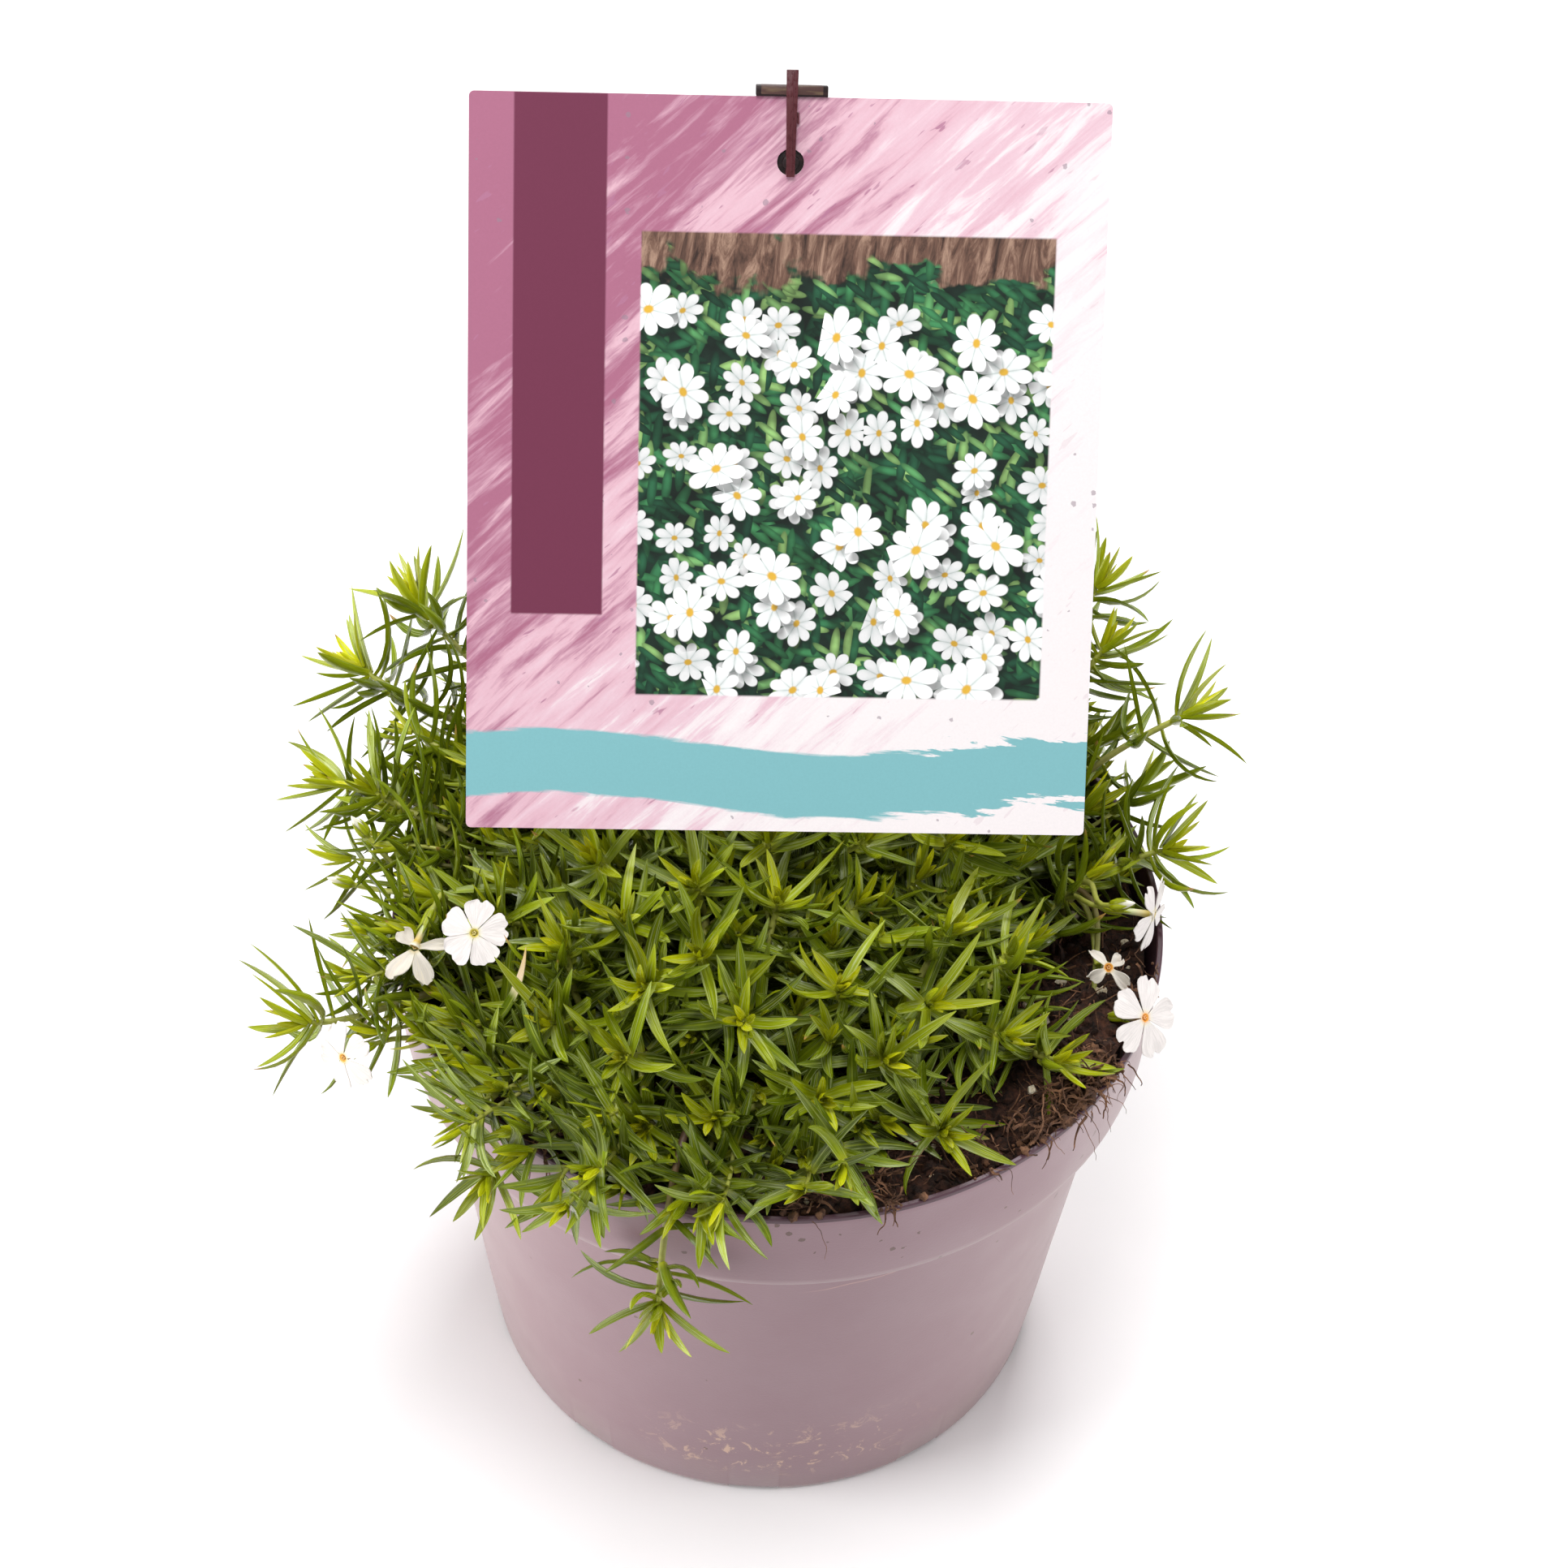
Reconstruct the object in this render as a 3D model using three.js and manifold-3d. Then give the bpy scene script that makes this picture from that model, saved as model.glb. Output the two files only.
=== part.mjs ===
// Creeping phlox in its nursery pot, with its picture label on a stake.
// Millimetres, +Z up. The origin is the middle of the pot's underside, and -Y is the front.
import * as THREE from 'three';
import { mergeVertices } from 'three/addons/utils/BufferGeometryUtils.js';
import Module from 'manifold-3d';

const wasm = await Module();
wasm.setup();

// ---- driving dimensions ----

const clearance = 0.3; // left between touching pieces

const pot = {
  height: 146,
  baseRadius: 72.5,
  baseEdge: 2.5, // rounding where the floor meets the wall
  shoulderRadius: 87, // just under the collar
  collarHeight: 28.5,
  collarFootRadius: 93.4,
  rimRadius: 95,
  lipEdge: 0.6, // bevel of the rim and of the collar's foot
  wall: 1.6,
  floor: 2.4,
  sides: 40,
};

const footNotch = { count: 10, width: 13, height: 1.6, depth: 9 }; // drain gaps round the foot
const drain = { count: 6, radius: 4, circle: 40, sides: 8 };

const soil = {
  height: 140.5, // mean level at the middle
  edgeDrop: 3, // the level that the wall is met at, below the mean
  fallToRight: 0.034, // the level drops towards +X
  lump: 1.5,
  rings: [20, 40, 58, 73, 84],
  sides: 20, // every second of the pot's corners
};

const stem = {
  radius: 1.25,
  tipRadius: 1,
  stalkShare: 0.8, // a flower stalk's radius beside a leafy stem's
  rise: 2, // it stands upright to this far above the soil
  depth: 7, // in the soil
  step: 16, // between the rings of its bare length
};

const leaf = {
  length: 17.5,
  width: 2.5,
  thickness: 0.9,
  footHeight: 1.7, // along its stem
  footSink: 0.7, // share of the stem's radius where its arc begins
  widest: 0.42, // share of its length
  keel: 0.5, // share of its width, along its underside
  topShare: 0.7, // of its thickness beyond the keel's
  gap: 0.45, // to the leaves of other stems
};

// Leaf pairs down from a tip: how far down, the angle off the stem, and the share of full length.
const leafPairs = [
  { down: 1.1, angle: 30, size: 0.6 },
  { down: 2.8, angle: 52, size: 0.9 },
  { down: 4.5, angle: 72, size: 1 },
  { down: 7.6, angle: 86, size: 1 },
  { down: 13.6, angle: 92, size: 0.85 },
];

// How far single leaves stray from their pair's angle and size, in degrees and shares.
const stray = {
  turn: 12,
  shortest: 0.88,
  longest: 1.1,
  firstAngle: 6,
  lastAngleUp: 24,
  lastAngleDown: 30,
};
const dodges = [0, 12, -12, 24, -24]; // degrees that a leaf may turn to stay clear

const mat = { middle: [-5, 6], top: 190, edge: 151, reach: 92, lean: 1.05 }; // the cushion of tips
const tipSpacing = 16.2; // the least between two tips
const filling = { candidates: 52, pairWithin: 26 };
const rootSpread = 0.74; // a root's share of its tips' way out
const bareSoil = { fromAngle: -62, toAngle: 2, beyond: 58 }; // nothing grows here, at the front right
const forkAt = 0.55; // share of a stem where its second tip leaves it
const stalks = { lowest: 0.7, step: 0.07 }; // shares of a stem where its flower stalks leave it

const card = { width: 143, height: 168, thickness: 0.6, corner: 2, holeRadius: 3, holeDrop: 14.4 };
const cardMiddle = [-3.2, 19.1, 275];
const cardTurn = { back: 33.3, yaw: 3, roll: -0.5 }; // degrees

const stake = {
  width: 2.6,
  depth: 2.6,
  groove: 0.8,
  tongueWidth: 2.4,
  tongueTaper: 0.7, // share of its width at the tongue's foot
  tongueThickness: 1,
  tongueAbove: 6, // past the card's top edge
  tongueBelowHole: 3.2,
  nubRadius: 1.9,
  nubLength: 1.3,
  barWidth: 16,
  barHeight: 2.2,
  barDepth: 5.2,
  barHoleRadius: 0.7,
  barHoleDepth: 2,
  footY: 10,
  bendHeight: 238, // it is upright below this
  buried: 60,
};

const petal = { thickness: 0.7, claw: 1.2 };
const tube = { radius: 0.95, footRadius: 0.75, sides: 6 };
const calyx = { radius: 2.4, bore: 1.8, length: 7, shoulder: 2.1, floor: 1.5 };
const bud = { radius: 1.9, endRadius: 1, length: 7, shoulder: 2.8 };

// ---- materials ----

const surface = (color, roughness) => new THREE.MeshStandardMaterial({ color, roughness });
const materials = {
  pot: surface('#a48c91', 0.48),
  soil: surface('#3a2219', 0.95),
  foliage: surface('#5f8424', 0.5),
  petal: surface('#f6f4f0', 0.6),
  card: surface('#e2c9d2', 0.45),
  stake: surface('#4b2328', 0.35),
};

// ---- small helpers ----

const vector = (x, y, z) => new THREE.Vector3(x, y, z);
const unit = (list) => vector(...list).normalize();
const degrees = THREE.MathUtils.degToRad;
const mix = THREE.MathUtils.lerp;

// A repeatable stream of numbers, each asked for between two limits.
function seededDraws(seed) {
  let state = (seed + 1) * 7919;
  const draw = () => {
    state = (state * 48271) % 2147483647;
    return state / 2147483647;
  };
  draw();
  draw();
  return (low, high) => low + (high - low) * draw();
}

// A closed geometry as a manifold-3d solid.
function solid(geometry) {
  const bare = geometry.clone();
  bare.deleteAttribute('normal');
  bare.deleteAttribute('uv');
  const merged = mergeVertices(bare, 1e-4);
  return new wasm.Manifold(new wasm.Mesh({
    numProp: 3,
    vertProperties: merged.attributes.position.array,
    triVerts: new Uint32Array(merged.index.array),
  }));
}

function geometryOf(made) {
  const { vertProperties, triVerts } = made.getMesh();
  const geometry = new THREE.BufferGeometry();
  geometry.setAttribute('position', new THREE.BufferAttribute(vertProperties, 3));
  geometry.setIndex(new THREE.BufferAttribute(triVerts, 1));
  geometry.computeVertexNormals();
  return geometry;
}

// The solids fused as one body, with any hollow that they seal filled.
function joined(solids) {
  const shells = wasm.Manifold.union(solids).decompose();
  return shells.reduce((largest, shell) => (shell.volume() > largest.volume() ? shell : largest));
}

// Moves every vertex of a geometry by a rule.
function reshape(geometry, rule) {
  const position = geometry.attributes.position;
  const point = vector(0, 0, 0);
  for (let i = 0; i < position.count; i += 1) {
    rule(point.fromBufferAttribute(position, i));
    position.setXYZ(i, point.x, point.y, point.z);
  }
  return geometry;
}

// The turn that takes +Z to a direction.
function facing(direction) {
  return new THREE.Quaternion().setFromUnitVectors(vector(0, 0, 1), unit(direction));
}

// ---- pot ----

const potFoot = pot.height - pot.collarHeight;

function potOuterRadius(z) {
  if (z > potFoot) return mix(pot.collarFootRadius, pot.rimRadius, (z - potFoot) / pot.collarHeight);
  return mix(pot.baseRadius, pot.shoulderRadius, Math.max(z, 0) / potFoot);
}

const potInnerRadius = (z) => potOuterRadius(z) - pot.wall;

// The inside of the wall, from the floor up to the ledge behind the collar's foot.
const potInside = [
  [pot.baseRadius - pot.wall - pot.baseEdge, pot.floor],
  [pot.baseRadius - pot.wall, pot.floor + pot.baseEdge],
  [pot.shoulderRadius - pot.wall, potFoot],
  [pot.collarFootRadius - pot.wall, potFoot + 2 * pot.wall],
];

function makePot() {
  const profile = [
    [0, 0],
    [pot.baseRadius - pot.baseEdge, 0],
    [pot.baseRadius, pot.baseEdge],
    [pot.shoulderRadius, potFoot],
    [pot.collarFootRadius - pot.lipEdge, potFoot],
    [pot.collarFootRadius, potFoot + pot.lipEdge],
    [pot.rimRadius, pot.height - pot.lipEdge],
    [pot.rimRadius - pot.lipEdge, pot.height],
    [pot.rimRadius - pot.wall, pot.height],
    ...potInside.toReversed(),
    [0, pot.floor],
  ].map(([r, z]) => new THREE.Vector2(r, z));
  const body = new THREE.LatheGeometry(profile, pot.sides).rotateX(Math.PI / 2);
  const cuts = [];
  for (let i = 0; i < footNotch.count; i += 1) {
    const notch = new THREE.BoxGeometry(footNotch.depth, footNotch.width, 2 * footNotch.height);
    notch.translate(pot.baseRadius, 0, 0).rotateZ((2 * Math.PI * (i + 0.5)) / footNotch.count);
    cuts.push(solid(notch));
  }
  for (let i = 0; i < drain.count; i += 1) {
    const hole = new THREE.CylinderGeometry(drain.radius, drain.radius, 3 * pot.floor, drain.sides);
    hole.rotateX(Math.PI / 2).translate(drain.circle, 0, 0).rotateZ((2 * Math.PI * i) / drain.count);
    cuts.push(solid(hole));
  }
  return solid(body).subtract(wasm.Manifold.union(cuts));
}

// ---- soil ----

const soilClearance = 1.5 * clearance; // its flats cut across the wall's corners

// The level of the soil before its lumps are faceted.
function soilHeight(x, y) {
  const broad = Math.sin(0.071 * x + 0.6) * Math.cos(0.083 * y - 0.4);
  const fine = 0.6 * Math.sin(0.19 * x - 0.12 * y) * Math.cos(0.17 * y + 0.09 * x);
  return soil.height - soil.fallToRight * x + soil.lump * (broad + fine);
}

function makeSoil(holes) {
  const edge = soil.height - soil.edgeDrop;
  const profile = [
    [0, pot.floor + clearance],
    ...potInside.map(([radius, z]) => [radius - soilClearance, z + clearance]),
    [potInnerRadius(edge) - soilClearance, edge],
    ...soil.rings.toReversed().map((radius) => [radius, soil.height]),
    [0, soil.height],
  ].map(([r, z]) => new THREE.Vector2(r, z));
  const block = new THREE.LatheGeometry(profile, soil.sides).rotateX(Math.PI / 2);
  reshape(block, (point) => {
    if (point.z > edge - clearance) point.z += soilHeight(point.x, point.y) - soil.height;
  });
  return solid(block).subtract(wasm.Manifold.union(holes));
}

// An upright plain hole for a stem that reaches this far from its middle, and this deep.
function soilHole(x, y, reach, depth, sides) {
  const bore = (reach + clearance) / Math.cos(Math.PI / sides);
  const above = 4 * soil.lump;
  const hole = new THREE.CylinderGeometry(bore, bore, depth + clearance + above, sides);
  hole.rotateX(Math.PI / 2).translate(x, y, soilHeight(x, y) + (above - depth - clearance) / 2);
  return solid(hole);
}

// ---- label card and stake ----

const cardPlace = new THREE.Matrix4().compose(
  vector(...cardMiddle),
  new THREE.Quaternion()
    .setFromAxisAngle(vector(0, 0, 1), degrees(cardTurn.yaw))
    .multiply(new THREE.Quaternion().setFromAxisAngle(vector(1, 0, 0), degrees(-cardTurn.back)))
    .multiply(new THREE.Quaternion().setFromAxisAngle(vector(0, 1, 0), degrees(-cardTurn.roll))),
  vector(1, 1, 1),
);
const cardInverse = cardPlace.clone().invert();
const holeHeight = card.height / 2 - card.holeDrop; // above the card's middle

// In the card's own frame: X across, Z up, the print faces -Y.
function makeCard() {
  const halfWidth = card.width / 2 - card.corner;
  const halfHeight = card.height / 2 - card.corner;
  const outline = new THREE.Shape();
  outline.absarc(halfWidth, halfHeight, card.corner, 0, Math.PI / 2);
  outline.absarc(-halfWidth, halfHeight, card.corner, Math.PI / 2, Math.PI);
  outline.absarc(-halfWidth, -halfHeight, card.corner, Math.PI, 1.5 * Math.PI);
  outline.absarc(halfWidth, -halfHeight, card.corner, 1.5 * Math.PI, 2 * Math.PI);
  outline.holes.push(new THREE.Path().absarc(0, holeHeight, card.holeRadius, 0, 2 * Math.PI, true));
  const sheet = new THREE.ExtrudeGeometry(outline, {
    depth: card.thickness,
    bevelEnabled: false,
    curveSegments: 3,
  });
  return solid(sheet.rotateX(Math.PI / 2).translate(0, card.thickness / 2, 0));
}

const stakeTop = card.height / 2 + clearance;
const stakeReach = Math.hypot(stake.width, stake.depth) / 2;
const stemBack = card.thickness / 2 + clearance + stake.depth / 2; // the stem's middle, behind the card
const onCard = (x, y, z) => vector(x, y, z).applyMatrix4(cardPlace);
const stakeFootX = Math.round(onCard(0, stemBack, 0).x);

// Down the card's back, then away from it in a bow, upright into the soil.
const stakePath = new THREE.CatmullRomCurve3([
  onCard(0, stemBack, stakeTop + clearance),
  onCard(0, stemBack, holeHeight - 8),
  onCard(0, stemBack + 1.5, holeHeight - 45),
  vector(stakeFootX, stake.footY + 2, stake.bendHeight),
  vector(stakeFootX, stake.footY, stake.bendHeight - 50),
  vector(stakeFootX, stake.footY, soil.height),
  vector(stakeFootX, stake.footY, soilHeight(stakeFootX, stake.footY) - stake.buried),
]);

function makeStake() {
  const half = stake.width / 2;
  const back = stake.depth / 2;
  const section = new THREE.Shape([
    [-back, -half],
    [back, -half],
    [back, -0.45 * half],
    [back - stake.groove, 0],
    [back, 0.45 * half],
    [back, half],
    [-back, half],
  ].map(([x, y]) => new THREE.Vector2(x, y)));
  const shaft = new THREE.ExtrudeGeometry(section, {
    steps: 14,
    extrudePath: stakePath,
    bevelEnabled: false,
  });

  const tongueFoot = holeHeight - stake.tongueBelowHole;
  const tongueHead = card.height / 2 + stake.tongueAbove;
  const front = -card.thickness / 2 - clearance - stake.tongueThickness / 2;
  const tongue = new THREE.BoxGeometry(stake.tongueWidth, stake.tongueThickness, tongueHead - tongueFoot);
  tongue.translate(0, front, (tongueHead + tongueFoot) / 2);
  reshape(tongue, (point) => {
    if (point.z < holeHeight) point.x *= stake.tongueTaper;
  });
  const nub = new THREE.CylinderGeometry(stake.nubRadius, stake.nubRadius, stake.nubLength, 8);
  nub.translate(0, front + stake.nubLength / 2, holeHeight);

  const barPlace = vector(0, (front + stemBack) / 2, stakeTop + stake.barHeight / 2);
  const bar = new THREE.BoxGeometry(stake.barWidth, stake.barDepth, stake.barHeight);
  bar.translate(...barPlace);
  const bores = [-1, 1].map((side) => {
    const { barHoleRadius: radius, barHoleDepth: depth } = stake;
    const bore = new THREE.CylinderGeometry(radius, radius, 2 * depth, 6);
    bore.rotateZ(Math.PI / 2).translate(...barPlace).translate((side * stake.barWidth) / 2, 0, 0);
    return solid(bore.applyMatrix4(cardPlace));
  });
  const clip = [tongue, nub, bar].map((piece) => solid(piece.applyMatrix4(cardPlace)));
  return joined([...clip, solid(shaft)]).subtract(wasm.Manifold.union(bores));
}

// ---- where the shoots stand ----

// How high the cushion of tips stands over a place.
function matHeight(x, y) {
  const out = Math.hypot(x - mat.middle[0], y - mat.middle[1]) / mat.reach;
  return mix(mat.top, mat.edge, out * out);
}

// The way a tip on the cushion points: up in the middle, leaning out at its edge.
function leanOut(x, y) {
  const lean = mat.lean / mat.reach;
  return [(x - mat.middle[0]) * lean, (y - mat.middle[1]) * lean, 1];
}

// A tip on the cushion, by its place alone.
const onMat = (x, y) => ({ at: [x, y, matHeight(x, y)], way: leanOut(x, y) });
const matShoot = (name, ...places) => ({ name, tips: places.map(([x, y]) => onMat(x, y)) });

// A vigorous shoot whose tip reaches out past the rim.
function longShoot(name, root, at, way, leafLength, arch) {
  return { name, root, tips: [{ at, way, leafLength, arch }] };
}

const placedShoots = [
  longShoot('shoot_front_left_hanging', [-50, -58], [-65, -83, 141], [-0.4, -0.6, -0.75], 20),
  longShoot('shoot_front_hanging', [-18, -74], [-24, -102, 119], [0, -0.05, -1], 20, 0.88),
  longShoot('shoot_left_long', [-68, -30], [-112, -46, 151], [-0.95, -0.2, 0.3], 20),
  longShoot('shoot_left', [-72, 6], [-101, 14, 169], [-0.7, 0, 0.7], 18),
  longShoot('shoot_left_low', [-76, 18], [-112, 27, 157], [-0.9, 0, 0.45], 18),
  longShoot('shoot_back_left_out', [-66, 38], [-108, 54, 171], [-0.8, 0.3, 0.55], 19),
  longShoot('shoot_back_left', [-62, 50], [-95, 70, 180], [-0.6, 0.45, 0.7], 19),
  longShoot('shoot_right_out', [66, 30], [99, 40, 181], [0.8, 0.1, 0.5], 20),
  longShoot('shoot_right', [70, 6], [95, 13, 161], [0.8, -0.1, 0.5], 19),
  longShoot('shoot_back_right', [58, 44], [79, 62, 182], [0.5, 0.4, 0.8], 18),
  longShoot('shoot_back_right_tall', [50, 60], [78, 86, 180], [0.45, 0.5, 0.75], 18),
  matShoot('shoot_front_1', [-37, -33], [-31, -49]),
  matShoot('shoot_front_2', [-53, -53], [-51, -37]),
  matShoot('shoot_front_3', [-35, -63], [-29, -77]),
  matShoot('shoot_front_4', [-7, -57], [0, -30]),
  matShoot('shoot_front_5', [12, -71], [-13, -76]),
  matShoot('shoot_front_6', [37, -47], [41, -29]),
  matShoot('shoot_front_7', [55, -48], [56, -28]),
  matShoot('shoot_front_8', [41, -72]),
  matShoot('shoot_front_9', [68, -48]),
  matShoot('shoot_front_10', [27, -61], [15, -48]),
  matShoot('shoot_front_11', [-68, -24]),
  matShoot('shoot_front_12', [-20, -26], [-18, -43]),
  matShoot('shoot_front_13', [-69, -58]),
];

const floweringShoots = [
  {
    name: 'shoot_flowering_left',
    root: [-56, -16],
    tips: [onMat(-84, -12)],
    flowers: ['flower_left_open', 'flower_left_wilted'],
    buds: [{ at: [-101, 3, 164], way: [-0.5, 0.1, 0.8] }, { at: [-104, -6, 156], way: [-0.8, -0.2, 0.5] }],
  },
  {
    name: 'shoot_flowering_low_left',
    root: [-68, -48],
    tips: [onMat(-83, -47)],
    flowers: ['flower_low_left'],
    buds: [],
  },
  {
    name: 'shoot_flowering_right',
    root: [62, -10],
    tips: [onMat(76, 4)],
    flowers: ['flower_right_side_on', 'flower_right_wilted', 'flower_right_open'],
    buds: [{ at: [80, -11, 166], way: [0.7, -0.3, 0.5] }],
  },
];

// Curl is how far a petal's end falls back, as a share of its length.
const flowers = [
  {
    name: 'flower_left_open',
    at: [-71, -39, 178],
    facing: [-0.1, -0.55, 0.8],
    roll: 8,
    petals: 5,
    petalLength: 8,
    petalWidth: 6.6,
    notch: 0.8,
    curl: 0.04,
    tubeLength: 9,
  },
  {
    name: 'flower_left_wilted',
    at: [-86, -33, 165],
    facing: [-0.3, -0.75, -0.3],
    roll: 30,
    petals: 4,
    petalLength: 7.5,
    petalWidth: 4.4,
    notch: 0.6,
    curl: 0.75,
    tubeLength: 9,
  },
  {
    name: 'flower_low_left',
    at: [-101, -58, 153],
    facing: [-0.5, -0.6, 0.3],
    roll: 20,
    petals: 5,
    petalLength: 8,
    petalWidth: 5.2,
    notch: 1,
    curl: 0.15,
    tubeLength: 9,
  },
  {
    name: 'flower_right_side_on',
    at: [91, -9, 161],
    facing: [1, -0.1, -0.05],
    roll: 0,
    petals: 5,
    petalLength: 9.5,
    petalWidth: 6,
    notch: 1.4,
    curl: 0.1,
    tubeLength: 11,
  },
  {
    name: 'flower_right_wilted',
    at: [80, -23, 157],
    facing: [0.15, -0.6, 0.7],
    roll: 40,
    petals: 4,
    petalLength: 6.5,
    petalWidth: 3.6,
    notch: 0.4,
    curl: 0.3,
    tubeLength: 8,
  },
  {
    name: 'flower_right_open',
    at: [89, -34, 152],
    facing: [0.6, -0.5, 0.6],
    roll: 24,
    petals: 5,
    petalLength: 10,
    petalWidth: 6.8,
    notch: 2.2,
    curl: 0.06,
    tubeLength: 11,
  },
];

function isBare(x, y) {
  const angle = THREE.MathUtils.radToDeg(Math.atan2(y, x));
  return Math.hypot(x, y) > bareSoil.beyond && angle > bareSoil.fromAngle && angle < bareSoil.toAngle;
}

const apart = (a, b) => Math.hypot(a.at[0] - b.at[0], a.at[1] - b.at[1]);
const goldenAngle = Math.PI * (3 - Math.sqrt(5));

// Tips in a sunflower's order over the cushion, wherever no placed tip is near.
function fillingTips(placed) {
  const found = [];
  for (let i = 0; i < filling.candidates; i += 1) {
    const out = mat.reach * Math.sqrt((i + 0.5) / filling.candidates);
    const x = mat.middle[0] + out * Math.cos(i * goldenAngle);
    const y = mat.middle[1] + out * Math.sin(i * goldenAngle);
    const tip = onMat(x, y);
    const free = [...placed, ...found].every((other) => apart(tip, other) > tipSpacing);
    if (free && !isBare(x, y)) found.push(tip);
  }
  return found;
}

// Two near tips share a forked stem.
function pairedShoots(tips) {
  const left = [...tips];
  const shoots = [];
  while (left.length > 0) {
    const first = left.shift();
    left.sort((a, b) => apart(a, first) - apart(b, first));
    const shoot = { name: `shoot_${String(shoots.length + 1).padStart(2, '0')}`, tips: [first] };
    if (left.length > 0 && apart(left[0], first) < filling.pairWithin) shoot.tips.push(left.shift());
    shoots.push(shoot);
  }
  return shoots;
}

const handPlaced = [...placedShoots, ...floweringShoots];
const shoots = [...handPlaced, ...pairedShoots(fillingTips(handPlaced.flatMap((shoot) => shoot.tips)))];

function rootOf(shoot) {
  if (shoot.root) return shoot.root;
  const count = shoot.tips.length;
  return [0, 1].map((axis) => {
    const mean = shoot.tips.reduce((sum, tip) => sum + tip.at[axis], 0) / count;
    return mix(mat.middle[axis], mean, rootSpread);
  });
}

// ---- stems ----

// A curve that leaves one point along one direction and arrives at another along its own.
function reachingCurve(start, startWay, end, endWay, arch = 0.42) {
  const span = arch * start.distanceTo(end);
  return new THREE.CubicBezierCurve3(
    start,
    start.clone().addScaledVector(startWay, span),
    end.clone().addScaledVector(endWay, -span),
    end,
  );
}

// Where a flower's stalk ends, at the foot of its calyx.
function calyxFoot(flower) {
  const drop = flower.tubeLength + calyx.floor + clearance;
  return vector(...flower.at).addScaledVector(unit(flower.facing), -drop);
}

const flowerNamed = (name) => flowers.find((flower) => flower.name === name);

// Every stem of a shoot: the curve that it follows, and the tip, flower or bud that it ends in.
function stemsOf(shoot) {
  const [x, y] = rootOf(shoot);
  const foot = vector(x, y, soilHeight(x, y) + stem.rise);
  const [mainTip, ...others] = shoot.tips;
  const main = reachingCurve(foot, vector(0, 0, 1), vector(...mainTip.at), unit(mainTip.way), mainTip.arch);
  const branch = (share, end, way) => {
    const start = main.getPoint(share);
    const toEnd = end.clone().sub(start).normalize();
    return reachingCurve(start, main.getTangent(share).add(toEnd).normalize(), end, way);
  };
  const stalkEnds = [
    ...(shoot.flowers ?? []).map(flowerNamed).map((flower) => (
      { endsIn: 'flower', end: calyxFoot(flower), way: unit(flower.facing) })),
    ...(shoot.buds ?? []).map(({ at, way }) => ({ endsIn: 'bud', end: vector(...at), way: unit(way) })),
  ];
  return [
    { curve: main, tip: mainTip, isMain: true },
    ...others.map((tip) => ({ curve: branch(forkAt, vector(...tip.at), unit(tip.way)), tip })),
    ...stalkEnds.map(({ end, way, endsIn }, i) => (
      { curve: branch(stalks.lowest + i * stalks.step, end, way), endsIn })),
  ];
}

const bareFoot = 5; // no leaf stands lower on its stem than this

// The rings that a stem ends in: the open cup under a flower's tube, or a closed bud.
function endMarks({ endsIn }) {
  if (endsIn === 'flower') {
    return [
      { down: -calyx.floor, radius: calyx.bore },
      { down: -calyx.length, radius: calyx.bore },
      { down: -calyx.length, radius: calyx.radius },
      { down: -calyx.shoulder, radius: calyx.radius },
      { down: 0 },
    ];
  }
  if (endsIn === 'bud') {
    return [
      { down: -bud.length, radius: bud.endRadius },
      { down: -bud.shoulder, radius: bud.radius },
      { down: 0 },
    ];
  }
  return [];
}

// Where a stem's rings stand: its end, both ends of each leaf's foot, then wide steps to its foot.
function ringMarks(one) {
  const length = one.curve.getLength();
  const marks = endMarks(one);
  if (one.tip) {
    leafPairs.filter((pair) => pair.down < length - bareFoot).forEach((pair) => {
      const upper = pair.down - leaf.footHeight / 2;
      if (marks.length === 0 || upper > marks.at(-1).down) marks.push({ down: upper });
      marks.push({ down: pair.down + leaf.footHeight / 2, pair });
    });
  }
  const last = marks.at(-1).down;
  const steps = Math.max(2, Math.round((length - last) / stem.step));
  for (let i = 1; i <= steps; i += 1) marks.push({ down: mix(last, length, i / steps) });
  return marks;
}

// The four-cornered rings of a stem, at these distances down from its end, or past it.
function stemRings(curve, sideways, thickness, marks) {
  const length = curve.getLength();
  let side = sideways;
  return marks.map(({ down, radius }) => {
    const share = THREE.MathUtils.clamp(1 - down / length, 0, 1);
    const along = curve.getTangentAt(share);
    side = side.clone().addScaledVector(along, -side.dot(along)).normalize();
    const front = along.clone().cross(side);
    const reach = radius ?? thickness * mix(stem.radius, stem.tipRadius, share);
    const middle = curve.getPointAt(share).addScaledVector(along, Math.max(-down, 0));
    const corners = [0.5, 1.5, 2.5, 3.5].map((quarter) => middle.clone()
      .addScaledVector(side, reach * Math.cos((quarter * Math.PI) / 2))
      .addScaledVector(front, reach * Math.sin((quarter * Math.PI) / 2)));
    return { along, side, front, reach, corners };
  });
}

const stems = [];
shoots.forEach((shoot) => stemsOf(shoot).forEach((one) => {
  const draw = seededDraws(stems.length);
  const thickness = one.tip ? 1 : stem.stalkShare;
  const sideways = vector(1, 0, 0).applyAxisAngle(vector(0, 0, 1), draw(0, Math.PI));
  const marks = ringMarks(one);
  const rings = stemRings(one.curve, sideways, thickness, marks);
  stems.push({ ...one, shoot, draw, marks, rings, leaves: new Map() });
}));

// ---- leaves ----

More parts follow.
